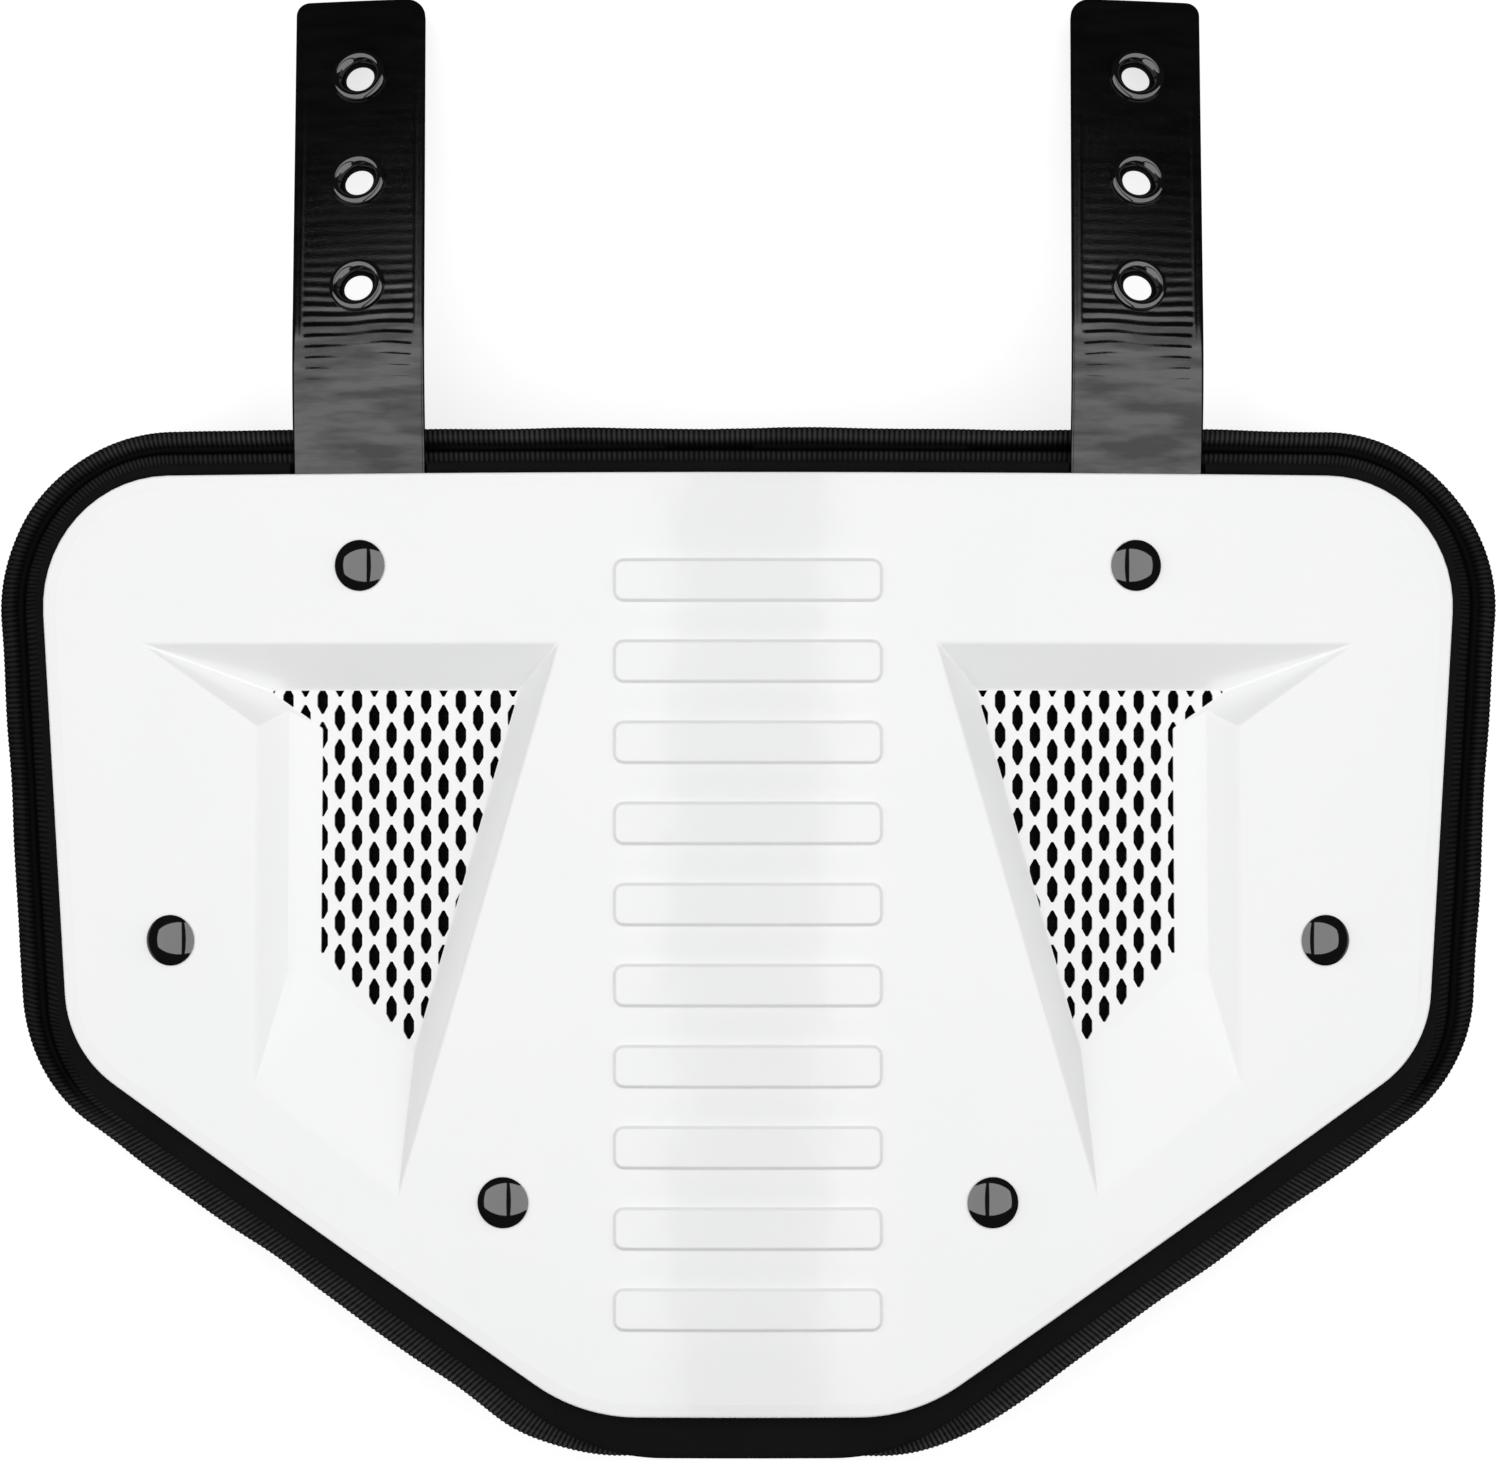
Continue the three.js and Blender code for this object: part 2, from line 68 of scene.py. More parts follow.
# A fine crease where the bevel meets the face, as (inset, drop) in mm
SHELL_CREASE = [(0, 0.1), (0.15, 0.11), (0.45, 0)]
BEND_CUT = 5 * MM
CLEARANCE = 0.3 * MM
CUT_MARGIN = 1 * MM

# Vents: corners as shares of the half width and half height, and the run of the wall after each
VENT_DEPTH = 6.5 * MM
VENT_CORNERS = [
    {"across": 0.2593, "up": 0.6408, "run": 5.4 * MM, "corner": 0.4 * MM},
    {"across": 0.4828, "up": -0.5336, "run": 26.1 * MM, "corner": 0.3 * MM},
    {"across": 0.6841, "up": -0.2995, "run": 13.7 * MM, "corner": 1.0 * MM},
    {"across": 0.6803, "up": 0.4599, "run": 7.6 * MM, "corner": 0.8 * MM},
    {"across": 0.8485, "up": 0.6408, "run": 10.1 * MM, "corner": 0.35 * MM},
]
# The outer wall has a crease: how deep it is and how much of the run lies above it
CREASED_WALL = 2
CREASE_DEPTH = 0.88 * VENT_DEPTH
CREASE_RUN = 0.48
# The walls' foot and rim, as (height or depth, outward shift) in mm
WALL_FOOT = [(0, -0.35), (0.04, -0.2), (0.12, -0.08), (0.3, 0)]
WALL_RIM = [(0.5, 0), (0.28, 0.04), (0.12, 0.14), (0.03, 0.32), (-0.02, 0.55)]

# Lattice in the vents' floors
HOLE_WIDTH = 2.3 * MM
HOLE_LENGTH = 5.6 * MM
HOLE_FLAT = 2.3 * MM
HOLE_TIP = 0.5 * MM
HOLE_FOOT_MARGIN = 1.6 * MM
HOLE_CLIP = 0.15 * MM
COLUMN_PITCH = 3.74 * MM
ROW_PITCH = 7.33 * MM
FIRST_COLUMN_INSET = 0.7 * MM
FIRST_ROW_INSET = 2.35 * MM
# Columns and rows that between them cover the floor
HOLE_COLUMNS = range(-4, 17)
HOLE_ROWS = range(-1, 15)

# Raised bars
BAR_COUNT = 10
BAR_LENGTH = 57 * MM
BAR_WIDTH = 9 * MM
BAR_PITCH = 17.2 * MM
BAR_CORNER = 2.2 * MM
# A bar's side from its foot to its top, as (inset, height) in mm
BAR_SIDE = [(-0.3, -0.02), (-0.14, 0.02), (0, 0.12), (0.44, 0.76), (0.58, 0.86), (0.85, 0.9)]

# Pad and its binding: how far each layer stands out beyond the shell, by edge
PAD_FRONT = -(SHELL_THICKNESS + CLEARANCE)
PAD_THICKNESS = 12 * MM
PAD_BACK = PAD_FRONT - PAD_THICKNESS
PAD_LIP_THICKNESS = 2.8 * MM
PAD_LIP_ROUND = 1.3 * MM
POCKET_CLEARANCE = 0.5 * MM
POCKET_TUCK = 1 * MM
POCKET_TOP = 4 * MM
PAD_LIP = {"top": 2.6 * MM, "side": 2.1 * MM, "diagonal": 5.5 * MM, "foot": 9.0 * MM}
TAPE = {"top": 9.8 * MM, "side": 10.9 * MM, "diagonal": 11.2 * MM, "foot": 8.9 * MM}
TAPE_SET_BACK = 3.4 * MM
TAPE_FRONT = PAD_FRONT - TAPE_SET_BACK

# The tape's ribs, the overlap of its ends at the top, and its waves. Below FLAT_TAPE_Y it lies
# flat, with its groove filled up to FILLED_UP of its height, and waves more.
RIB_PITCH = 1.1 * MM
RIB_STEPS = 4
RIB_HEIGHT = 0.2 * MM
FILLED_RIB = 0.8
JOIN_X = 1.3 * MM
JOIN_LENGTH = 15 * MM
JOIN_LIFT = 0.2 * MM
FLAT_TAPE_Y = -30 * MM
FLAT_TAPE_FADE = 14 * MM
FILLED_UP = 0.93
TAPE_SWAY = 0.5 * MM
SWAY_RATE = 45
# How bright the painted light on the ribs' tops is, by how far up the tape faces outwards in the plan;
# the grooves stay painted dark as shade
PAINTED_LIGHT_FACING = [-0.6, -0.1, 0.2, 1]
PAINTED_LIGHT = [1, 0.3, 0.3, 0.75]

# The cushion behind the pad's lip: how far inside the lip and the tape its side lies, its edge
# as (inset, rise) in mm from the back, and how the cloth simulation fills it
CUSHION_TUCK = 1.2 * MM
CUSHION_TAPE_TUCK = 3 * MM
CUSHION_BACK = PAD_BACK + 1.6 * MM
CUSHION_EDGE = [(9, 0), (4, 0.8), (0, 3)]
CUSHION_FRONT_DROP = 1.4 * MM
CUSHION_SWELL = 2.4 * MM
CUSHION_VOXEL = 4 * MM
HELD_RISE = 5 * MM
HELD_RING = 4 * MM
PUFF_PRESSURE = 4
PUFF_FRAMES = 20

# Straps, measured along them from where they start to bend
STRAP_WIDTH = 28.6 * MM
STRAP_THICKNESS = 2.8 * MM
STRAP_OFFSET = 83.3 * MM
STRAP_SPLAY = math.radians(1)
STRAP_BEND_RADIUS = 60 * MM
STRAP_BEND_ANGLE = math.radians(22.3)
STRAP_FREE = 101.3 * MM
STRAP_END_Y = VENT_CORNERS[4]["up"] * HALF_HEIGHT + 2.2 * MM
STRAP_BEND_Y = HALF_HEIGHT + TAPE["top"] + CLEARANCE
STRAP_RIB_PITCH = 2.42 * MM
STRAP_RIB = 0.045 * MM
# How strong the ribs are by the distance along the strap in mm
RIB_PLACES = [-12, 1, 4, 9, 19, 25, 30, 42, 60]
RIB_STRENGTHS = [0.2, 0.6, 2.0, 2.8, 1.7, 0.9, 0.4, 0.12, 0.06]
RIB_FULL_ACROSS = 9 * MM
RIB_END = [2.1 * MM, 2.9 * MM]
RIB_WANDER = 0.35
RIB_CUTS = 6
STRAP_COLUMN = 1.6 * MM
BEAD_COLUMN = 0.25 * MM
STRAP_BEAD = 1.9 * MM
STRAP_BEAD_WIDTH = 0.3 * MM
STRAP_BEAD_RISE = 0.08 * MM
STRAP_EDGE = 0.7 * MM
STRAP_CORNERS = [3 * MM, 4.4 * MM, 1 * MM, 1 * MM]

# Eyelets and rivets
EYELET_PITCH = 25.4 * MM
EYELET_MARGIN = 19 * MM
EYELET_BORE = 6.4 * MM
EYELET_MOUTH = 8.4 * MM
EYELET_RIM = 12 * MM
EYELET_BARREL = 9.1 * MM
EYELET_CROWN = math.radians(62)
RIVET_HEAD = 10.9 * MM
RIVET_HEIGHT = 2.4 * MM
RIVET_CURVE = 1.5
RIVET_SHANK = 4 * MM
RIVET_TAIL = 9 * MM
RIVET_TAIL_THICKNESS = 1.2 * MM
RIVET_SEAT = 0.05 * MM
RIVET_PLACES = {
    "top": Vector((82.78 * MM, 80.7 * MM)),
    "side": Vector((124.09 * MM, 0.4 * MM)),
    "bottom": Vector((52.05 * MM, -54.85 * MM)),
}

# Light panels on both sides of a slot that the camera looks through
PANEL_HEIGHT = 500 * MM
PANEL_FOOT = -530 * MM
PANEL_TOP = 604 * MM
PANEL_REACH = 1500 * MM
PANEL_GAP = 112 * MM
PANEL_RADIANCE = 1.52

# Camera: over the plate, square to its middle
CAMERA_DISTANCE = 1300 * MM
CAMERA_AIM = Vector((0.45 * MM, 45.6 * MM))
VIEW_WIDTH = 318 * MM
ROOM_LIGHT = 0.02
FLOOR_SIZE = 6
FLOOR_BASE = 0.5
FLOOR_GLOW = 0.7


# Small helpers for modelling

def deselect():
    if bpy.context.object and bpy.context.object.mode != "OBJECT":
        bpy.ops.object.mode_set(mode="OBJECT")
    bpy.ops.object.select_all(action="DESELECT")


def take(name):
    """Names the object that was just added and returns it."""
    piece = bpy.context.object
    piece.name = name
    piece.data.name = name
    return piece


def edit(piece, kind="VERT", everything=True):
    deselect()
    piece.select_set(True)
    bpy.context.view_layer.objects.active = piece
    bpy.ops.object.mode_set(mode="EDIT")
    bpy.ops.mesh.select_mode(type=kind)
    bpy.ops.mesh.select_all(action="SELECT" if everything else "DESELECT")


def leave_edit():
    bpy.ops.object.mode_set(mode="OBJECT")


def tidy_mesh(piece, gap=1e-6):
    edit(piece)
    bpy.ops.mesh.remove_doubles(threshold=gap)
    bpy.ops.mesh.normals_make_consistent(inside=False)
    leave_edit()


def apply_modifier(piece, kind, **settings):
    deselect()
    piece.select_set(True)
    bpy.context.view_layer.objects.active = piece
    modifier = piece.modifiers.new(kind.title(), kind)
    for key, value in settings.items():
        setattr(modifier, key, value)
    bpy.ops.object.modifier_apply(modifier=modifier.name)
    return piece


def combine(piece, tool, operation, crossing=False):
    """Joins a tool to a piece or cuts it out, and uses the tool up."""
    apply_modifier(piece, "BOOLEAN", operation=operation, solver="EXACT", use_self=crossing, object=tool)
    bpy.data.objects.remove(tool)
    return piece


def join(pieces, name):
    deselect()
    for piece in pieces:
        piece.select_set(True)
    bpy.context.view_layer.objects.active = pieces[0]
    bpy.ops.object.join()
    return take(name)


def twin(piece, name):
    """A copy with its own mesh."""
    copy = piece.copy()
    copy.data = piece.data.copy()
    copy.name = name
    copy.data.name = name
    bpy.context.scene.collection.objects.link(copy)
    return copy


def places(piece):
    flat = np.empty(len(piece.data.vertices) * 3)
    piece.data.vertices.foreach_get("co", flat)
    return flat.reshape(-1, 3)


def put_places(piece, points):
    piece.data.vertices.foreach_set("co", np.asarray(points).ravel())
    piece.data.update()


def move_mesh(piece, matrix):
    piece.data.transform(matrix)
    if matrix.determinant() < 0:
        piece.data.flip_normals()
    return piece


def slice_up(piece, step, axis, reach):
    """Cuts a piece by parallel planes so that it can bend."""
    edit(piece)
    normal = Vector((0, 0, 0))
    normal[axis] = 1
    count = int(reach / step)
    for i in range(-count, count + 1):
        bpy.ops.mesh.select_all(action="SELECT")
        bpy.ops.mesh.bisect(plane_co=normal * (i * step), plane_no=normal)
    leave_edit()


def smooth(piece, degrees):
    deselect()
    piece.select_set(True)
    bpy.context.view_layer.objects.active = piece
    bpy.ops.object.shade_smooth_by_angle(angle=math.radians(degrees))


# Outlines

def grow_polygon(corners, distances):
    """Moves each edge of a counterclockwise polygon outwards by its own distance."""
    edges = []
    for i, corner in enumerate(corners):
        along = (corners[(i + 1) % len(corners)] - corner).normalized()
        edges.append((corner + Vector((along.y, -along.x)) * distances[i], along))
    grown = []
    for i, (start, along) in enumerate(edges):
        before, before_along = edges[i - 1]
        step = (start - before).cross(along) / before_along.cross(along)
        grown.append(before + before_along * step)
    return grown


def round_polygon(corners, radii, arc_steps, side_steps=1):
    """Points round a polygon with arcs for corners, the same number whatever its size."""
    arc_steps = [arc_steps] * len(corners) if isinstance(arc_steps, int) else arc_steps
    side_steps = [side_steps] * len(corners) if isinstance(side_steps, int) else side_steps
    arcs = []
    for i, corner in enumerate(corners):
        inward = (corner - corners[i - 1]).normalized()
        onward = (corners[(i + 1) % len(corners)] - corner).normalized()
        turn = math.atan2(inward.cross(onward), inward.dot(onward))
        radius = math.copysign(radii[i], turn)
        start = corner - inward * (radius * math.tan(turn / 2))
        centre = start + Vector((-inward.y, inward.x)) * radius
        steps = arc_steps[i]
        turns = [Matrix.Rotation(turn * k / steps, 2) for k in range(steps + 1)]
        arcs.append([centre + spin @ (start - centre) for spin in turns])
    points = []
    for i, arc in enumerate(arcs):
        end, beyond = arc[-1], arcs[(i + 1) % len(arcs)][0]
        points += arc
        points += [end.lerp(beyond, k / side_steps[i]) for k in range(1, side_steps[i])]
    return points


def plate_outline(grow, arc_steps=14, side_steps=1):
    """The plate's outline, each edge moved out by its own distance."""
    waist_y = HALF_HEIGHT - SIDE_HEIGHT
    right = [(HALF_WIDTH, HALF_HEIGHT), (WAIST_HALF_WIDTH, waist_y), (FOOT_HALF_WIDTH, -HALF_HEIGHT)]
    left = [(-x, y) for x, y in right]
    corners = [Vector(p) for p in (right[0], left[0], left[1], left[2], right[2], right[1])]
    top, side, diagonal, foot = (grow[edge] for edge in ("top", "side", "diagonal", "foot"))
    top_radius = TOP_CORNER + (top + side) / 2
    side_radius = SIDE_CORNER + (side + diagonal) / 2
    foot_radius = FOOT_CORNER + (diagonal + foot) / 2
    grown = grow_polygon(corners, [top, side, diagonal, foot, diagonal, side])
    radii = [top_radius, top_radius, side_radius, foot_radius, foot_radius, side_radius]
    return round_polygon(grown, radii, arc_steps, side_steps)


def all_round(distance):
    return {edge: distance for edge in TAPE}


def widen(grow, extra):
    return {edge: distance + extra for edge, distance in grow.items()}


def vent_outline(depth, extra=0.0, steps=6):
    """The right-hand vent's outline at a depth, widened by extra."""
    corners = [Vector((c["across"] * HALF_WIDTH, c["up"] * HALF_HEIGHT)) for c in VENT_CORNERS]
    shares = [depth / VENT_DEPTH] * len(corners)
    if 0 < depth < VENT_DEPTH:
        shares[CREASED_WALL] = np.interp(depth, [0, CREASE_DEPTH, VENT_DEPTH], [0, CREASE_RUN, 1])
    runs = [extra - c["run"] * share for c, share in zip(VENT_CORNERS, shares)]
    radii = [c["corner"] for c in VENT_CORNERS]
    return round_polygon(grow_polygon(corners, runs), radii, steps)


# Solids

def stack(name, levels):
    """A closed solid whose outline passes through (outline, height) levels, lowest first."""
    deselect()
    outline, height = levels[0]
    bpy.ops.mesh.primitive_circle_add(vertices=len(outline), fill_type="NGON")
    piece = take(name)
    put_places(piece, [(x, y, height) for x, y in outline])
    edit(piece, "FACE")
    rim = {tuple(v.co): i for i, v in enumerate(bmesh.from_edit_mesh(piece.data).verts)}
    for outline, height in levels[1:]:
        bpy.ops.mesh.extrude_region_move()
        mesh = bmesh.from_edit_mesh(piece.data)
        raised = [v for v in mesh.verts if v.select]
        raised.sort(key=lambda v: rim[tuple(v.co)])
        for vertex, (x, y) in zip(raised, outline):
            vertex.co = (x, y, height)
        rim = {tuple(v.co): i for i, v in enumerate(raised)}
        bmesh.update_edit_mesh(piece.data)
    leave_edit()
    tidy_mesh(piece)
    return piece


def quarter_round(radius, steps=5):
    """(inset, drop) pairs of a rounded upper edge, from the side up to the face."""
    turns = [math.pi / 2 * k / steps for k in range(steps + 1)]
    return [(radius * (1 - math.cos(a)), radius * (1 - math.sin(a))) for a in turns]


def turn_profile(name, profile, steps=48):
    """A body of revolution about Z from (radius, height) points, listed round its section."""
    deselect()
    bpy.ops.mesh.primitive_circle_add(vertices=len(profile), fill_type="NOTHING")
    piece = take(name)
    put_places(piece, [(radius, 0, height) for radius, height in profile])
    edit(piece, "EDGE", everything=False)
    mesh = bmesh.from_edit_mesh(piece.data)
    for edge in mesh.edges:
        edge.select_set(all(v.co.x < 1e-9 for v in edge.verts))
    bmesh.update_edit_mesh(piece.data)
    bpy.ops.mesh.delete(type="EDGE")
    bpy.ops.mesh.select_all(action="SELECT")
    bpy.ops.mesh.spin(steps=steps, angle=2 * math.pi, center=(0, 0, 0), axis=(0, 0, 1))
    leave_edit()
    tidy_mesh(piece)
    return piece


def round_cutter(place, diameter, low, high):
    deselect()
    middle = (place.x, place.y, (low + high) / 2)
    bpy.ops.mesh.primitive_cylinder_add(radius=diameter / 2, depth=high - low, location=middle)
    piece = take("cutter")
    bpy.ops.object.transform_apply(location=True, rotation=False, scale=False)
    return piece


def ring(name, loops, painted_rib_lights):
    """A closed tube through loops that all have as many points, with painted light on its ribs (bright
    tops, shaded grooves) marked on the points.
    """
    across, round_it = len(loops), len(loops[0])
    deselect()
    bpy.ops.mesh.primitive_grid_add(x_subdivisions=round_it, y_subdivisions=across, size=1)
    piece = take(name)
    grid = places(piece)
    columns = np.rint((grid[:, 0] + 0.5) * round_it).astype(int) % round_it
    rows = np.rint((grid[:, 1] + 0.5) * across).astype(int) % across
    put_places(piece, loops[rows, columns])
    # The mark holds painted light: high on the rib tops, low where the grooves are painted as shade
    marks = piece.data.attributes.new("painted_rib_light", "FLOAT", "POINT")
    marks.data.foreach_set("value", painted_rib_lights[rows, columns])
    tidy_mesh(piece, 1e-7)
    return piece


# Bending and laying down

def drop(x):
    return BEND_RADIUS - np.sqrt(BEND_RADIUS ** 2 - x ** 2)


def bend(points):
    """Bends flat points over the back's cylinder, keeping depths square to it."""
    x, y, z = points.T
    stretch = BEND_RADIUS / np.sqrt(BEND_RADIUS ** 2 - x ** 2)
    return np.stack([x, y, z * stretch - drop(x)], axis=1)


LAY = Matrix.Translation(LAY_SHIFT) @ Matrix.Rotation(LAY_PITCH, 4, "X")


def lay(piece, bent=True):
    if bent:
        put_places(piece, bend(places(piece)))
    piece.data.transform(LAY)
    return piece


def seat(x, y, z=0.0, pitch=0.0):
    """Where a round piece sits: its axis stands square to the bent surface."""
    slope = x / math.sqrt(BEND_RADIUS ** 2 - x ** 2)
    normal = Vector((slope, math.tan(pitch), 1)).normalized()
    turn = Vector((0, 0, 1)).rotation_difference(normal).to_matrix().to_4x4()
    return LAY @ Matrix.Translation((x, y, z - float(drop(x)))) @ turn


# Shell

def lattice_cutter():
    """Hexagonal holes in staggered columns, clipped by the vent's floor, for both vents."""
    floor = vent_outline(VENT_DEPTH, -HOLE_CLIP)
    top_y = max(p.y for p in vent_outline(VENT_DEPTH))
    outer_x = VENT_CORNERS[2]["across"] * HALF_WIDTH - VENT_CORNERS[2]["run"]
    half, flat = HOLE_WIDTH / 2, HOLE_FLAT / 2
    tip, end = HOLE_TIP / 2, HOLE_LENGTH / 2
    right = [(tip, -end), (half, -flat), (half, flat), (tip, end)]
    outline = [Vector(p) for p in right] + [Vector((-x, y)) for x, y in reversed(right)]
    low, high = -VENT_DEPTH - 2 * SHELL_THICKNESS, -VENT_DEPTH + CUT_MARGIN
    foot = [Vector((c["across"] * HALF_WIDTH, c["up"] * HALF_HEIGHT)) for c in VENT_CORNERS[1:3]]
    along = (foot[1] - foot[0]).normalized()
    clear = VENT_CORNERS[1]["run"] + HOLE_FOOT_MARGIN
    holes = []
    for column in HOLE_COLUMNS:
        for row in HOLE_ROWS:
            x = outer_x - FIRST_COLUMN_INSET - column * COLUMN_PITCH
            y = top_y - FIRST_ROW_INSET - (row + (column % 2) / 2) * ROW_PITCH
            place = Vector((x, y))
            if along.cross(place - foot[0]) > clear:
                holes.append(place)
    hole = stack("lattice", [(outline, low), (outline, high)])
    copies = []
    for place in holes:
        copies.append(move_mesh(twin(hole, "hole"), Matrix.Translation((place.x, place.y, 0))))
    bpy.data.objects.remove(hole)
    lattice = join(copies, "lattice")
    bounds = stack("floor", [(floor, low - CUT_MARGIN), (floor, high + CUT_MARGIN)])
    combine(lattice, bounds, "INTERSECT")
    return apply_modifier(lattice, "MIRROR", use_mirror_merge=False)


def raised_bars():
    turns = [(1, 1), (-1, 1), (-1, -1), (1, -1)]
    corners = [Vector((x * BAR_LENGTH / 2, y * BAR_WIDTH / 2)) for x, y in turns]

    def outline(inset):
        drawn = grow_polygon(corners, [-inset] * 4)
        return round_polygon(drawn, [BAR_CORNER - inset] * 4, 6)

    levels = [(outline(BAR_SIDE[0][0] * MM), -SHELL_THICKNESS / 2)]
    levels += [(outline(inset * MM), height * MM) for inset, height in BAR_SIDE]
    bar = stack("bars", levels)
    middle = BAR_PITCH * (BAR_COUNT - 1) / 2
    bars = []
    for i in range(BAR_COUNT):
        bars.append(move_mesh(twin(bar, "bar"), Matrix.Translation((0, i * BAR_PITCH - middle, 0))))
    bpy.data.objects.remove(bar)
    return join(bars, "bars")


def vent_cutter():
    """The hollow of both vents, with a fine rim and foot to its walls."""
    levels = []
    for height, extra in WALL_FOOT:
        depth = VENT_DEPTH - height * MM
        levels.append((vent_outline(depth, extra * MM), -depth))
    levels.append((vent_outline(CREASE_DEPTH), -CREASE_DEPTH))
    for depth, extra in WALL_RIM:
        levels.append((vent_outline(depth * MM, extra * MM), -depth * MM))
    levels.append((vent_outline(0, 0.6 * MM), CUT_MARGIN))
    hollow = stack("vents", levels)
    return apply_modifier(hollow, "MIRROR", use_mirror_merge=False)


def vent_boxes():
    """What surrounds the vents' hollows behind the plate."""
    lowered = SHELL_THICKNESS
    levels = [
        (vent_outline(VENT_DEPTH), -VENT_DEPTH - lowered),
        (vent_outline(CREASE_DEPTH), -CREASE_DEPTH - lowered),
        (vent_outline(0), -lowered),
        (vent_outline(0), -lowered / 2),
    ]
    block = stack("vents", levels)
    return apply_modifier(block, "MIRROR", use_mirror_merge=False)


def make_shell():
    levels = [
        (plate_outline(all_round(-SHELL_BACK_INSET)), -SHELL_THICKNESS),
        (plate_outline(all_round(0)), -SHELL_THICKNESS + SHELL_BACK_RISE),
    ]
    levels += [(plate_outline(all_round(-inset)), -SHELL_BEVEL_DROP - fall)
               for inset, fall in quarter_round(SHELL_LIP, 6)]
    levels += [(plate_outline(all_round(-SHELL_BEVEL - inset * MM)), -fall * MM)
               for inset, fall in SHELL_CREASE]
    shell = stack("shell_moulding", levels)
    combine(shell, raised_bars(), "UNION")
    combine(shell, vent_boxes(), "UNION")
    combine(shell, vent_cutter(), "DIFFERENCE")
    combine(shell, lattice_cutter(), "DIFFERENCE")
    bores = []
    for place in RIVET_PLACES.values():
        for side in (1, -1):
            middle = Vector((side * place.x, place.y))
            bores.append(round_cutter(middle, RIVET_SHANK + 2 * CLEARANCE, PAD_BACK, RIVET_HEIGHT))
    combine(shell, join(bores, "bores"), "DIFFERENCE")
    slice_up(shell, BEND_CUT, 0, HALF_WIDTH)
    slice_up(shell, 2 * BEND_CUT, 1, HALF_HEIGHT)
    tidy_mesh(shell)
    lay(shell)
    smooth(shell, SHELL_SMOOTH_ANGLE)
    apply_modifier(shell, "WEIGHTED_NORMAL", keep_sharp=True, weight=50)
    return shell


# Pad

def pockets():
    """The vents' and straps' room in the pad."""
    spare = SHELL_THICKNESS + POCKET_CLEARANCE
    levels = [
        (vent_outline(VENT_DEPTH), -VENT_DEPTH - spare),
        (vent_outline(CREASE_DEPTH), -CREASE_DEPTH - spare),
        (vent_outline(-POCKET_TUCK), POCKET_TUCK - spare),
        (vent_outline(-POCKET_TUCK), POCKET_TOP),
    ]
    hollow = apply_modifier(stack("pockets", levels), "MIRROR", use_mirror_merge=False)
    half = STRAP_WIDTH / 2 + POCKET_CLEARANCE
    low, high = STRAP_END_Y - POCKET_CLEARANCE, STRAP_BEND_Y + 4 * MM
    channel = [Vector(p) for p in ((half, high), (-half, high), (-half, low), (half, low))]
    floor = PAD_FRONT - STRAP_THICKNESS - CLEARANCE
    pieces = [hollow]
    for side in (1, -1):
        strip = stack("channel", [(channel, floor), (channel, POCKET_TOP)])
        pieces.append(move_mesh(strip, Matrix.Translation((side * STRAP_OFFSET, 0, 0))))
    return join(pieces, "pockets")


def puff(piece, held, cap):
    """Fills a closed body by cloth simulation; held says which points stay."""
    apply_modifier(piece, "REMESH", mode="VOXEL", voxel_size=CUSHION_VOXEL)
    rest = places(piece)
    pins = piece.vertex_groups.new(name="held")
    pins.add([i for i, point in enumerate(rest) if held(point)], 1, "REPLACE")
    cloth = piece.modifiers.new("Cloth", "CLOTH")
    cloth.settings.vertex_group_mass = "held"
    cloth.settings.use_pressure = True
    cloth.settings.uniform_pressure_force = PUFF_PRESSURE
    cloth.settings.effector_weights.gravity = 0
    for number in range(PUFF_FRAMES):
        bpy.context.scene.frame_set(number + 1)
    deselect()
    bpy.context.view_layer.objects.active = piece
    bpy.ops.object.modifier_apply(modifier=cloth.name)
    bpy.context.scene.frame_set(1)
    moved = places(piece) - rest
    lengths = np.linalg.norm(moved, axis=1, keepdims=True)
    put_places(piece, rest + moved * np.minimum(1, cap / np.maximum(lengths, 1e-9)))
    return piece


def make_pad():
    """A thin front sheet with a soft lip, and the cushion behind it."""
    inner = widen(PAD_LIP, -CUSHION_TUCK)
    cushion_outline = {edge: min(inner[edge], TAPE[edge] - CUSHION_TAPE_TUCK) for edge in TAPE}
    levels = [(plate_outline(widen(cushion_outline, -inset * MM)), CUSHION_BACK + rise * MM)
              for inset, rise in CUSHION_EDGE]
    levels.append((plate_outline(cushion_outline), PAD_FRONT - CUSHION_FRONT_DROP))
    cushion = stack("cushion", levels)
    spots = [Vector((side * p.x, p.y)) for p in RIVET_PLACES.values() for side in (1, -1)]

    def held(point):
        near = min((Vector(point[:2]) - spot).length for spot in spots)
        return point[2] > CUSHION_BACK + HELD_RISE or near < RIVET_TAIL / 2 + HELD_RING

    puff(cushion, held, CUSHION_SWELL)
    apply_modifier(cushion, "SUBSURF", levels=1, render_levels=1)
    edge = quarter_round(PAD_LIP_ROUND, 5)
    front = [(plate_outline(widen(PAD_LIP, -inset)), PAD_FRONT - PAD_LIP_THICKNESS + fall)
             for inset, fall in reversed(edge)]
    front += [(plate_outline(widen(PAD_LIP, -inset)), PAD_FRONT - fall) for inset, fall in edge]
    sheet = stack("pad_cover", front)
    slice_up(sheet, BEND_CUT, 0, HALF_WIDTH + 10 * MM)
    combine(sheet, cushion, "UNION")
    combine(sheet, pockets(), "DIFFERENCE", crossing=True)
    tidy_mesh(sheet)
    lay(sheet)
    smooth(sheet, 40)
    return sheet


# Edge binding

def ring_steps():
    """How many rib steps each corner and side of the outline takes."""
    coarse = plate_outline(TAPE, 24, 2)
    arc_steps, side_steps = [], []
    for i in range(6):
        arc = coarse[i * 26:i * 26 + 25]
        after = coarse[((i + 1) * 26) % len(coarse)]
        length = sum((b - a).length for a, b in zip(arc, arc[1:]))
        arc_steps.append(RIB_STEPS * round(length / RIB_PITCH))
        side_steps.append(RIB_STEPS * round((after - arc[-1]).length / RIB_PITCH))
    return arc_steps, side_steps


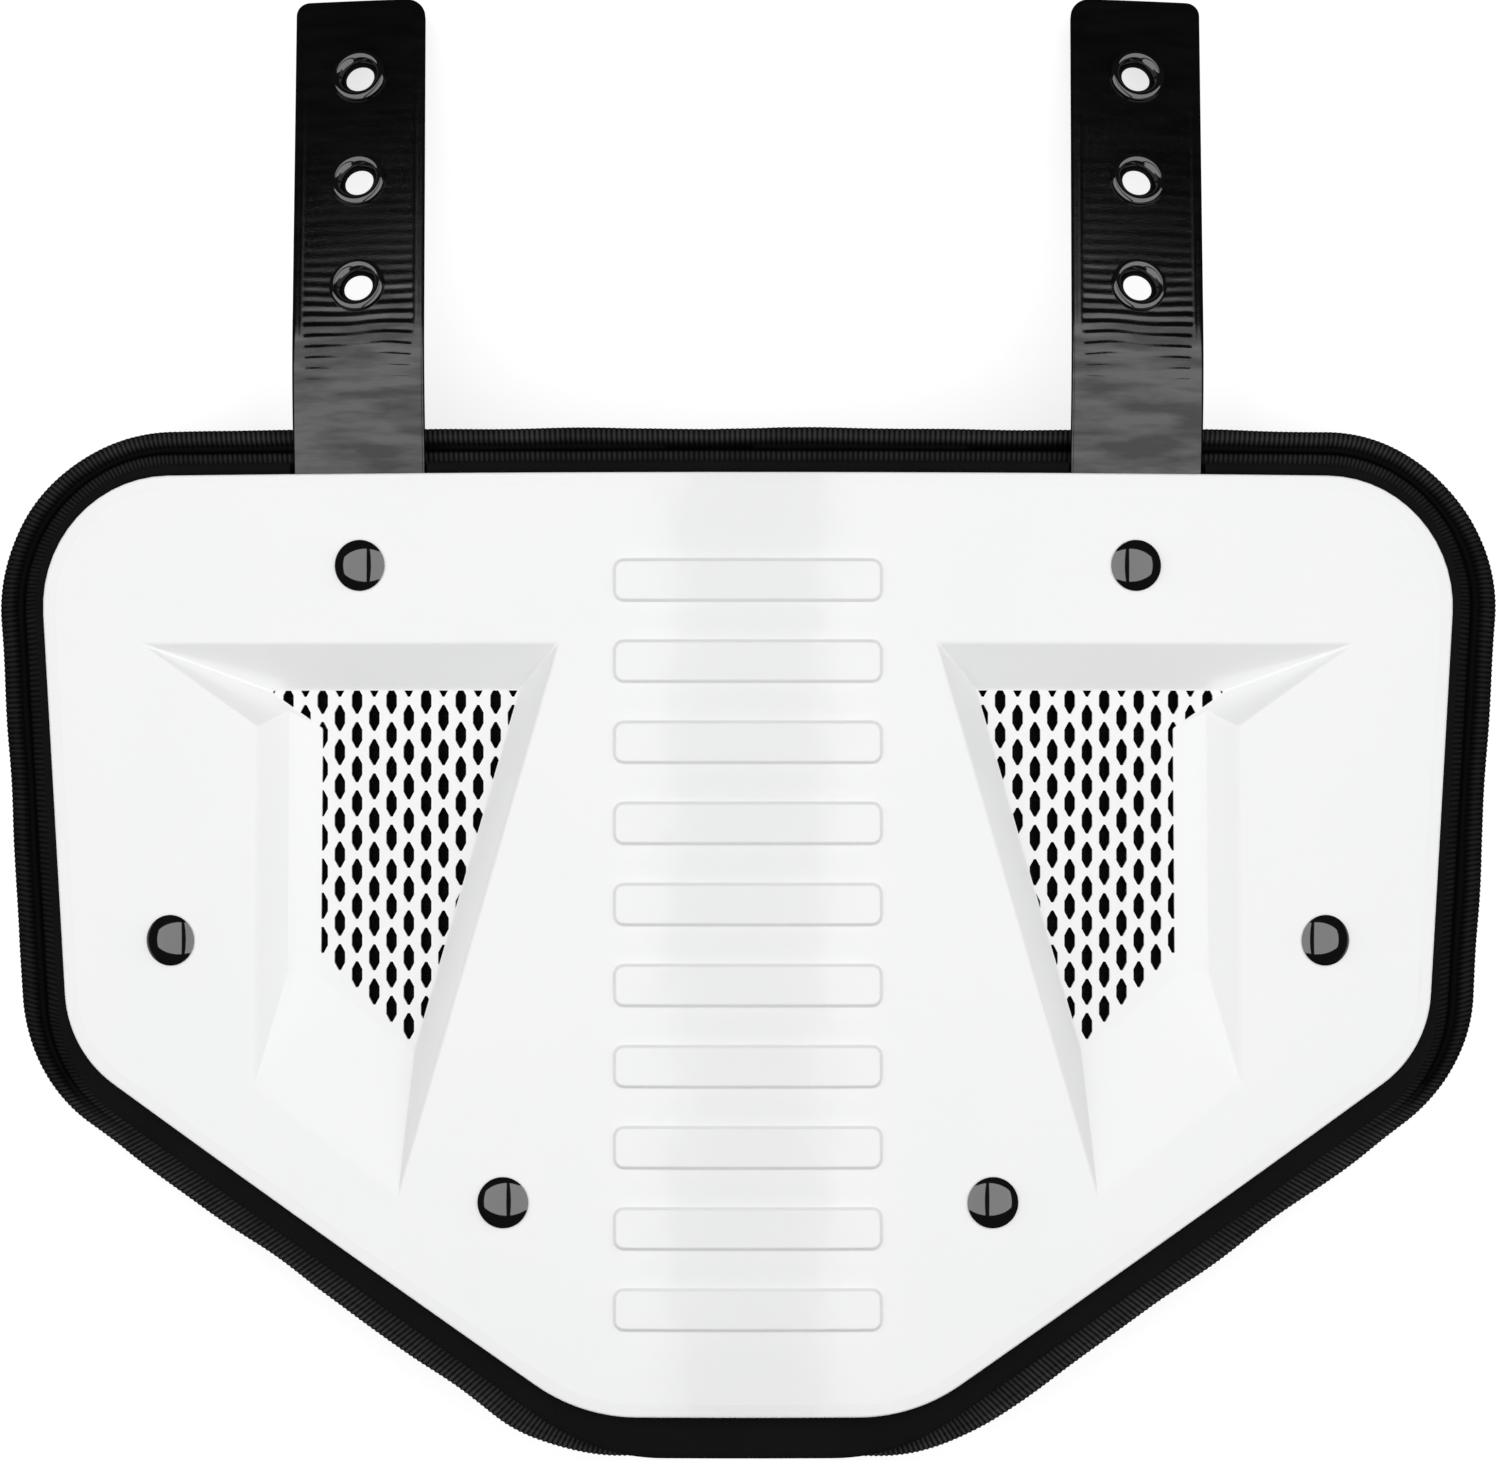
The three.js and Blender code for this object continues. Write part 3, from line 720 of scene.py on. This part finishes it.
# Each row is a point of the tape's section: how far out between the pad's lip (0) and the
# tape's edge (1), height between the pad's back (0) and the tape's front (1), and rib share
TAPE_SECTION = [
    {"out": -0.35, "up": 0.9, "rib": 0.0},
    {"out": -0.14, "up": 0.96, "rib": 0.3},
    {"out": -0.03, "up": 1.0, "rib": 0.7},
    {"out": 0.12, "up": 1.0, "rib": 0.7},
    {"out": 0.24, "up": 0.985, "rib": 0.7},
    {"out": 0.3, "up": 0.93, "rib": 0.4},
    {"out": 0.32, "up": 0.76, "rib": 0.0},
    {"out": 0.42, "up": 0.68, "rib": 0.0},
    {"out": 0.54, "up": 0.72, "rib": 0.2},
    {"out": 0.62, "up": 0.86, "rib": 1.0},
    {"out": 0.74, "up": 0.925, "rib": 1.0},
    {"out": 0.88, "up": 0.86, "rib": 1.0},
    {"out": 0.97, "up": 0.73, "rib": 0.6},
    {"out": 1.0, "up": 0.5, "rib": 0.25},
    {"out": 0.97, "up": 0.27, "rib": 0.4},
    {"out": 0.88, "up": 0.1, "rib": 0.8},
    {"out": 0.74, "up": 0.01, "rib": 1.0},
    {"out": 0.5, "up": 0.0, "rib": 1.0},
    {"out": 0.1, "up": 0.0, "rib": 1.0},
    {"out": -0.2, "up": 0.02, "rib": 0.5},
    {"out": -0.35, "up": 0.12, "rib": 0.0},
    {"out": -0.2, "up": 0.45, "rib": 0.0},
]
ROLL_ROW = 9
OUTER_ROW = 13


def lower_part(y):
    """0 at the plate's sides and top, 1 along its lower edges, where the tape lies flat."""
    return float(np.interp(y, [FLAT_TAPE_Y - FLAT_TAPE_FADE, FLAT_TAPE_Y], [1, 0]))


def in_groove(row):
    """Whether a row of the tape's section lies in the groove between flap and roll."""
    return 0.28 < row["out"] < 0.6 < row["up"]


def make_binding():
    arc_steps, side_steps = ring_steps()
    height = TAPE_FRONT - PAD_BACK
    base = {edge: min(PAD_LIP[edge], TAPE[edge] - 5 * MM) for edge in TAPE}
    loops = []
    for row in TAPE_SECTION:
        grow = {edge: base[edge] + row["out"] * (TAPE[edge] - base[edge]) for edge in TAPE}
        outline = plate_outline(grow, arc_steps, side_steps)
        filled = max(0, FILLED_UP - row["up"]) if in_groove(row) else 0
        loop = []
        for point in outline:
            up = row["up"] + filled * lower_part(point.y)
            loop.append((point.x, point.y, PAD_BACK + up * height))
        loops.append(loop)
    loops = np.array(loops)
    # Ribs swell the section away from its middle
    count = loops.shape[1]
    middle = loops.mean(axis=0, keepdims=True)
    away = loops - middle
    away /= np.linalg.norm(away, axis=2, keepdims=True)
    phase = 2 * math.pi * np.arange(count) / RIB_STEPS
    share = np.array([row["rib"] for row in TAPE_SECTION])[:, None, None]
    roll = loops[ROLL_ROW]
    flat_part = np.array([lower_part(y) for y in roll[:, 1]])
    grooved = np.array([in_groove(row) for row in TAPE_SECTION])
    share = np.maximum(share, FILLED_RIB * grooved[:, None, None] * flat_part[None, :, None])
    wave = RIB_HEIGHT * np.cos(phase)[None, :, None]
    wander = np.array([noise.noise(Vector((x, y, 0)) * SWAY_RATE) for x, y, _ in roll])
    sway = TAPE_SWAY * ((1 + flat_part) * wander)[None, :, None]
    middle_top = (np.abs(roll[:, 0] - JOIN_X) < JOIN_LENGTH / 2) & (roll[:, 1] > 0)
    lap = np.where(middle_top, JOIN_LIFT, 0)[None, :, None] * share
    loops = loops + away * (share * wave + sway + lap)
    outwards = loops[OUTER_ROW, :, :2] - loops[0, :, :2]
    facing = outwards[:, 1] / np.linalg.norm(outwards, axis=1)
    painted_light = np.interp(facing, PAINTED_LIGHT_FACING, PAINTED_LIGHT)
    # Painted light on the ribs: the tops keep the tape's colour and the grooves between them are painted
    # dark as shade, stored as a mark on the points
    painted_rib_lights = share[:, :, 0] * (0.5 + 0.5 * np.cos(phase))[None, :] * painted_light[None, :]
    binding = ring("binding", loops, painted_rib_lights)
    lay(binding)
    smooth(binding, 70)
    return binding


# Straps

def strap_point(distance, lift):
    """(y, z, pitch) of a point along the strap's middle surface, lifted off it."""
    bend_length = STRAP_BEND_RADIUS * STRAP_BEND_ANGLE
    pitch = min(max(distance, 0), bend_length) / STRAP_BEND_RADIUS
    beyond = max(distance - bend_length, 0)
    y = min(distance, 0) + STRAP_BEND_RADIUS * math.sin(pitch) + beyond * math.cos(pitch)
    z = STRAP_BEND_RADIUS * (math.cos(pitch) - 1) - beyond * math.sin(pitch)
    middle = PAD_FRONT - STRAP_THICKNESS / 2
    return y + lift * math.sin(pitch), middle + z + lift * math.cos(pitch), pitch


def on_strap(side, across, distance, lift):
    """A strap's point in flat coordinates, before the plate's curve is taken off it."""
    y, z, _ = strap_point(distance, lift)
    turn = Matrix.Rotation(-side * STRAP_SPLAY, 2)
    x, y = turn @ Vector((across, y))
    x += side * STRAP_OFFSET
    return x, y + STRAP_BEND_Y, z - float(drop(x))


def strap_ribs(across, distance):
    """How far the strap's face rises there: ribs, strongest in the bend, and a bead."""
    edge = STRAP_WIDTH / 2 - abs(across)
    along = np.interp(distance / MM, RIB_PLACES, RIB_STRENGTHS)
    beside = np.interp(abs(across), [0, RIB_FULL_ACROSS], [0.45, 1])
    inside = np.interp(edge, RIB_END, [0, 1])
    wander = noise.noise(Vector((across * 90, distance * 60, 3.1)))
    wave = math.cos(2 * math.pi * (distance / STRAP_RIB_PITCH + RIB_WANDER * wander))
    bead = math.exp(-((edge - STRAP_BEAD) / STRAP_BEAD_WIDTH) ** 2)
    return along * beside * inside * STRAP_RIB * wave + STRAP_BEAD_RISE * bead


def make_strap():
    """The right-hand strap, laid flat, cut for its ribs and pierced for the eyelets."""
    start = STRAP_END_Y - STRAP_BEND_Y
    length = STRAP_FREE - start
    corners = [
        Vector((STRAP_WIDTH / 2, STRAP_FREE)), Vector((-STRAP_WIDTH / 2, STRAP_FREE)),
        Vector((-STRAP_WIDTH / 2, start)), Vector((STRAP_WIDTH / 2, start)),
    ]
    half = STRAP_THICKNESS / 2

    def outline(inset):
        return round_polygon(grow_polygon(corners, [-inset] * 4), [r - inset for r in STRAP_CORNERS], 8)

    edge = quarter_round(STRAP_EDGE, 4)
    levels = [(outline(inset), -half + fall) for inset, fall in reversed(edge)]
    levels += [(outline(inset), half - fall) for inset, fall in edge]
    strap = stack("strap", levels)
    cutters = []
    for i in range(3):
        place = Vector((0, STRAP_FREE - EYELET_MARGIN - i * EYELET_PITCH))
        cutters.append(round_cutter(place, EYELET_BARREL + 2 * CLEARANCE, -2 * half, 2 * half))
    combine(strap, join(cutters, "bores"), "DIFFERENCE")
    edit(strap)
    cut = STRAP_RIB_PITCH / RIB_CUTS
    for i in range(int(length / cut) + 1):
        bpy.ops.mesh.select_all(action="SELECT")
        bpy.ops.mesh.bisect(plane_co=(0, start + i * cut, 0), plane_no=(0, 1, 0))
    cuts = [i * STRAP_COLUMN for i in range(8)]
    cuts += [STRAP_WIDTH / 2 - STRAP_BEAD + i * BEAD_COLUMN for i in range(-3, 4)]
    for across in sorted({sign * cut for cut in cuts for sign in (1, -1)}):
        bpy.ops.mesh.select_all(action="SELECT")
        bpy.ops.mesh.bisect(plane_co=(across, 0, 0), plane_no=(1, 0, 0))
    leave_edit()
    tidy_mesh(strap)
    return strap


def strap_pair():
    flat = make_strap()
    half = STRAP_THICKNESS / 2
    pieces = []
    for word, side in (("right", 1), ("left", -1)):
        strap = twin(flat, f"strap_{word}_webbing")
        placed = []
        for x, y, z in places(strap):
            lift = z + strap_ribs(x, y) if z > half - 1e-5 else z
            placed.append(on_strap(side, side * x, y, lift))
        put_places(strap, placed)
        if side < 0:
            strap.data.flip_normals()
        lay(strap, bent=False)
        smooth(strap, 50)
        pieces.append(strap)
    bpy.data.objects.remove(flat)
    return pieces


# Eyelets and rivets

def make_eyelet():
    """A low rolled rim on both faces, round a waisted bore."""
    face = STRAP_THICKNESS / 2 + CLEARANCE
    rim, mouth, bore = EYELET_RIM / 2, EYELET_MOUTH / 2, EYELET_BORE / 2
    curve = (rim - mouth) / 2 / math.sin(EYELET_CROWN)
    upper = [(rim - 0.05 * MM, face)]
    for k in range(9):
        turn = EYELET_CROWN * (1 - k / 4)
        lift = 0.4 * MM + curve * (math.cos(turn) - math.cos(EYELET_CROWN))
        upper.append(((rim + mouth) / 2 + curve * math.sin(turn), face + lift))
    upper += [
        (mouth - 0.35 * MM, face - 0.1 * MM),
        (bore + 0.15 * MM, face - 0.8 * MM),
        (bore, face / 4),
    ]
    lower = [(radius, -height) for radius, height in reversed(upper)]
    barrel = EYELET_BARREL / 2
    return turn_profile("eyelet", [(barrel, face), *upper, *lower, (barrel, -face)])


def make_rivet():
    """A domed head, a shank and a tail plate behind the pad."""
    tail_low = PAD_BACK + CLEARANCE
    tail_high = tail_low + RIVET_TAIL_THICKNESS
    head = RIVET_HEAD / 2
    low = RIVET_SEAT
    curve = RIVET_CURVE * head
    rim_angle = math.asin(1 / RIVET_CURVE)
    dome = []
    for k in range(13):
        turn = rim_angle * (1 - k / 12)
        dome.append((curve * math.sin(turn), RIVET_HEIGHT - curve * (1 - math.cos(turn))))
    dome[-1] = (0, RIVET_HEIGHT)
    tail = RIVET_TAIL / 2
    shank = RIVET_SHANK / 2
    foot = [(0, tail_low), (tail - 0.4 * MM, tail_low), (tail, tail_low + 0.4 * MM), (tail, tail_high)]
    rim = [(head - 0.2 * MM, low), (head, low + 0.15 * MM)]
    return turn_profile("rivet", [*foot, (shank, tail_high), (shank, low), *rim, *dome])


# Materials

def node_group(name, inputs, outputs):
    group = bpy.data.node_groups.new(name, "ShaderNodeTree")
    for label, kind, value in inputs:
        socket = group.interface.new_socket(label, in_out="INPUT", socket_type=kind)
        if value is not None:
            socket.default_value = value
    for label, kind in outputs:
        group.interface.new_socket(label, in_out="OUTPUT", socket_type=kind)
    return group, group.nodes.new("NodeGroupInput"), group.nodes.new("NodeGroupOutput")


def add(tree, kind, settings=None, **inputs):
    """Adds a node, sets its values and links its inputs, given by name or as i0, i1 and so on."""
    node = tree.nodes.new(kind)
    for key, value in (settings or {}).items():
        setattr(node, key, value)
    for key, value in inputs.items():
        numbered = key[0] == "i" and key[1:].isdigit()
        socket = node.inputs[int(key[1:]) if numbered else key.replace("_", " ")]
        if isinstance(value, bpy.types.NodeSocket):
            tree.links.new(value, socket)
        else:
            socket.default_value = value
    return node


def math_node(tree, operation, *values):
    inputs = {f"i{i}": value for i, value in enumerate(values)}
    return add(tree, "ShaderNodeMath", {"operation": operation}, **inputs).outputs[0]


def noise_node(tree, vector, scale, detail):
    inputs = {"Vector": vector, "Scale": scale, "Detail": detail}
    return add(tree, "ShaderNodeTexNoise", **inputs).outputs[0]


def fine_grain():
    """Moulded or woven grain as a height, and a slow mottle as a mask."""
    group, given, result = node_group(
        "fine grain",
        [
            ("Vector", "NodeSocketVector", None),
            ("Scale", "NodeSocketFloat", 900.0),
            ("Mottle Scale", "NodeSocketFloat", 30.0),
        ],
        [("Height", "NodeSocketFloat"), ("Mottle", "NodeSocketFloat")],
    )
    vector, scale, mottle_scale = given.outputs[:3]
    group.links.new(noise_node(group, vector, scale, 3.0), result.inputs[0])
    group.links.new(noise_node(group, vector, mottle_scale, 4.0), result.inputs[1])
    return group


def knit():
    """Close knitted loops as a height."""
    group, given, result = node_group(
        "knit", [("Vector", "NodeSocketVector", None), ("Pitch", "NodeSocketFloat", 0.0007)],
        [("Height", "NodeSocketFloat")],
    )
    split = add(group, "ShaderNodeSeparateXYZ", Vector=given.outputs[0])
    rate = math_node(group, "DIVIDE", 2 * math.pi, given.outputs[1])
    waves = []
    for axis in (0, 1):
        waves.append(math_node(group, "SINE", math_node(group, "MULTIPLY", split.outputs[axis], rate)))
    loops = math_node(group, "MULTIPLY", *waves)
    group.links.new(math_node(group, "MULTIPLY_ADD", loops, 0.5, 0.5), result.inputs[0])
    return group


def blend_colours(tree, factor, low, high):
    """A mix of two colours, each a triple or a socket."""
    mix = add(tree, "ShaderNodeMix", {"data_type": "RGBA"}, i0=factor)
    for number, colour in ((6, low), (7, high)):
        if isinstance(colour, bpy.types.NodeSocket):
            tree.links.new(colour, mix.inputs[number])
        else:
            mix.inputs[number].default_value = (*colour, 1)
    return mix.outputs[2]


def spread(tree, value, span, source=(0, 1)):
    """A mask stretched from a source range to a span."""
    node = add(tree, "ShaderNodeMapRange", Value=value, From_Min=source[0], From_Max=source[1],
               To_Min=span[0], To_Max=span[1])
    return node.outputs[0]


def finish(name, dark, light, rough, depth, grain_scale, mottle_scale, stretch=1.0,
           weave=None, wave=None, groove=None, cloud=None, **constants):
    """A material whose colour runs from dark to light with a mottle, with a bumped grain.

    stretch draws the mottle out across the piece, weave is a knit's pitch, wave is how far the
    surface swells with the mottle, groove is the painted shade colour between ribs, and cloud a coat's
    range.
    """
    made = bpy.data.materials.new(name)
    made.use_nodes = True
    tree = made.node_tree
    shader = tree.nodes["Principled BSDF"]
    coordinates = add(tree, "ShaderNodeTexCoord").outputs["Object"]
    drawn = add(tree, "ShaderNodeMapping", Vector=coordinates, Scale=(1, stretch, 1)).outputs[0]
    grain = add(tree, "ShaderNodeGroup", {"node_tree": GRAIN}, Vector=drawn, Scale=grain_scale,
                Mottle_Scale=mottle_scale)
    height, mottle = grain.outputs["Height"], grain.outputs["Mottle"]
    colour = blend_colours(tree, mottle, dark, light)
    if groove:
        # Painted light on ribs: where the mark is low the colour turns to the groove colour, painted
        # shade
        painted_rib_light = add(tree, "ShaderNodeAttribute", {"attribute_name": "painted_rib_light"})
        colour = blend_colours(tree, painted_rib_light.outputs["Fac"], groove, colour)
    tree.links.new(colour, shader.inputs["Base Color"])
    tree.links.new(spread(tree, mottle, rough), shader.inputs["Roughness"])
    if cloud:
        tree.links.new(spread(tree, mottle, cloud, CLOUD_SOURCE), shader.inputs["Coat Weight"])
    if weave:
        loops = add(tree, "ShaderNodeGroup", {"node_tree": KNIT}, Vector=coordinates, Pitch=weave)
        height = math_node(tree, "ADD", height, loops.outputs[0])
    bump = add(tree, "ShaderNodeBump", Height=height, Distance=depth, Strength=1.0)
    if wave:
        bump = add(tree, "ShaderNodeBump", Height=mottle, Distance=wave, Strength=1.0,
                   Normal=bump.outputs[0])
    tree.links.new(bump.outputs[0], shader.inputs["Normal"])
    for key, value in constants.items():
        shader.inputs[key.replace("_", " ")].default_value = value
    return made


def grey(value):
    return (value, value, value)


GRAIN = fine_grain()
KNIT = knit()
# The part of the mottle's range over which a cloudy coat comes and goes
CLOUD_SOURCE = (0.38, 0.62)
FINISHES = {
    "shell_plastic": finish(
        "white moulded plastic", dark=(0.85, 0.855, 0.86), light=grey(0.88), rough=(0.1, 0.16),
        depth=0.006 * MM, grain_scale=1400.0, mottle_scale=26.0, wave=0.7 * MM,
        Coat_Weight=0.25, Coat_Roughness=0.08,
    ),
    "pad_cover": finish(
        "black knit cover", dark=grey(0.003), light=grey(0.007), rough=(0.8, 0.95),
        depth=0.12 * MM, grain_scale=1800.0, mottle_scale=60.0, weave=0.8 * MM,
        Specular_IOR_Level=0.08,
    ),
    # The ribbed tape has painted light: its grooves are painted near black as shade, its rib tops keep
    # the lighter colour
    "binding_tape": finish(
        "black ribbed tape", dark=grey(0.022), light=grey(0.07), rough=(0.5, 0.7),
        depth=0.06 * MM, grain_scale=2500.0, mottle_scale=140.0, groove=grey(0.0004),
        Specular_IOR_Level=0.05,
    ),
    "strap_plastic": finish(
        "black ribbed plastic", dark=grey(0.001), light=grey(0.003), rough=(0.07, 0.12),
        depth=0.012 * MM, grain_scale=1200.0, mottle_scale=70.0, stretch=5.0, cloud=(0.0, 1.0),
        IOR=1.55, Coat_Roughness=0.07,
    ),
    "eyelet_plastic": finish(
        "black eyelet gloss", dark=grey(0.002), light=grey(0.004), rough=(0.06, 0.1),
        depth=0.004 * MM, grain_scale=900.0, mottle_scale=200.0,
        IOR=1.9, Coat_Weight=0.5, Coat_Roughness=0.05,
    ),
    "rivet_enamel": finish(
        "black enamel", dark=grey(0.002), light=grey(0.004), rough=(0.05, 0.09),
        depth=0.002 * MM, grain_scale=700.0, mottle_scale=200.0,
        IOR=2.0, Coat_Weight=0.6, Coat_Roughness=0.04,
    ),
}


def dress(piece, slot, *nodes):
    """Gives a piece its finish, hangs it under the root body and hides the CAD nodes it stands for."""
    piece.data.materials.clear()
    piece.data.materials.append(FINISHES[slot])
    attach(piece, "root")
    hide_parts(*nodes)
    return piece


# Assembly

def assemble():
    dress(make_shell(), "shell_plastic", "shell")
    pad = dress(make_pad(), "pad_cover", "pad")
    dress(make_binding(), "binding_tape", "edge_binding")
    for strap in strap_pair():
        side = "left" if "left" in strap.name else "right"
        dress(strap, "strap_plastic", f"strap_{side}")
    eyelet, rivet = make_eyelet(), make_rivet()
    for word, side in (("left", -1), ("right", 1)):
        for i in range(3):
            distance = STRAP_FREE - EYELET_MARGIN - i * EYELET_PITCH
            y, z, pitch = strap_point(distance, 0)
            x = side * (STRAP_OFFSET + y * math.sin(STRAP_SPLAY))
            copy = twin(eyelet, f"eyelet_ring_{word}_{i + 1}")
            copy.data.transform(seat(x, STRAP_BEND_Y + y * math.cos(STRAP_SPLAY), z, pitch))
            smooth(copy, 40)
            dress(copy, "eyelet_plastic", f"eyelet_{word}_{i + 1}")
        for row, place in RIVET_PLACES.items():
            copy = twin(rivet, f"rivet_dome_{row}_{word}")
            copy.data.transform(seat(side * place.x, place.y))
            smooth(copy, 40)
            dress(copy, "rivet_enamel", f"rivet_{row}_{word}")
    bpy.data.objects.remove(eyelet)
    bpy.data.objects.remove(rivet)


# Stage, light and camera

def make_floor():
    """A pale floor that glows a little and isn't seen in reflections."""
    deselect()
    bpy.ops.mesh.primitive_plane_add(size=FLOOR_SIZE)
    floor = take("floor")
    made = bpy.data.materials.new("pale floor")
    made.use_nodes = True
    shader = made.node_tree.nodes["Principled BSDF"]
    shader.inputs["Base Color"].default_value = (*grey(FLOOR_BASE), 1)
    shader.inputs["Roughness"].default_value = 0.9
    shader.inputs["Emission Color"].default_value = (1, 1, 1, 1)
    shader.inputs["Emission Strength"].default_value = FLOOR_GLOW
    floor.data.materials.append(made)
    floor.visible_glossy = False


def light_panel(name, low_x, high_x):
    """A wide diffuser lying flat over the plate, which only the plate and floor see."""
    width, height = high_x - low_x, PANEL_TOP - PANEL_FOOT
    lamp = bpy.data.lights.new(name, "AREA")
    lamp.shape = "RECTANGLE"
    lamp.size = width
    lamp.size_y = height
    lamp.energy = PANEL_RADIANCE * math.pi * width * height
    holder = bpy.data.objects.new(name, lamp)
    holder.location = ((low_x + high_x) / 2, (PANEL_TOP + PANEL_FOOT) / 2, PANEL_HEIGHT)
    holder.visible_camera = False
    bpy.context.scene.collection.objects.link(holder)


def make_world():
    """White for the camera, nearly dark for everything else."""
    world = bpy.data.worlds.new("studio")
    world.use_nodes = True
    tree = world.node_tree
    path = add(tree, "ShaderNodeLightPath")
    strength = spread(tree, path.outputs["Is Camera Ray"], (ROOM_LIGHT, 1.0))
    background = tree.nodes["Background"]
    background.inputs["Color"].default_value = (1, 1, 1, 1)
    tree.links.new(strength, background.inputs["Strength"])
    bpy.context.scene.world = world


def make_light():
    light_panel("left panel", -PANEL_REACH, -PANEL_GAP / 2)
    light_panel("right panel", PANEL_GAP / 2, PANEL_REACH)
    make_world()
    bpy.context.scene.view_settings.view_transform = "Standard"


def make_camera():
    lens = bpy.data.cameras.new("camera")
    lens.lens = lens.sensor_width / 2 / (VIEW_WIDTH / 2 / CAMERA_DISTANCE)
    camera = bpy.data.objects.new("camera", lens)
    camera.matrix_world = LAY @ Matrix.Translation((CAMERA_AIM.x, CAMERA_AIM.y, CAMERA_DISTANCE))
    bpy.context.scene.collection.objects.link(camera)
    bpy.context.scene.camera = camera


make_camera()
assemble()
make_floor()
make_light()
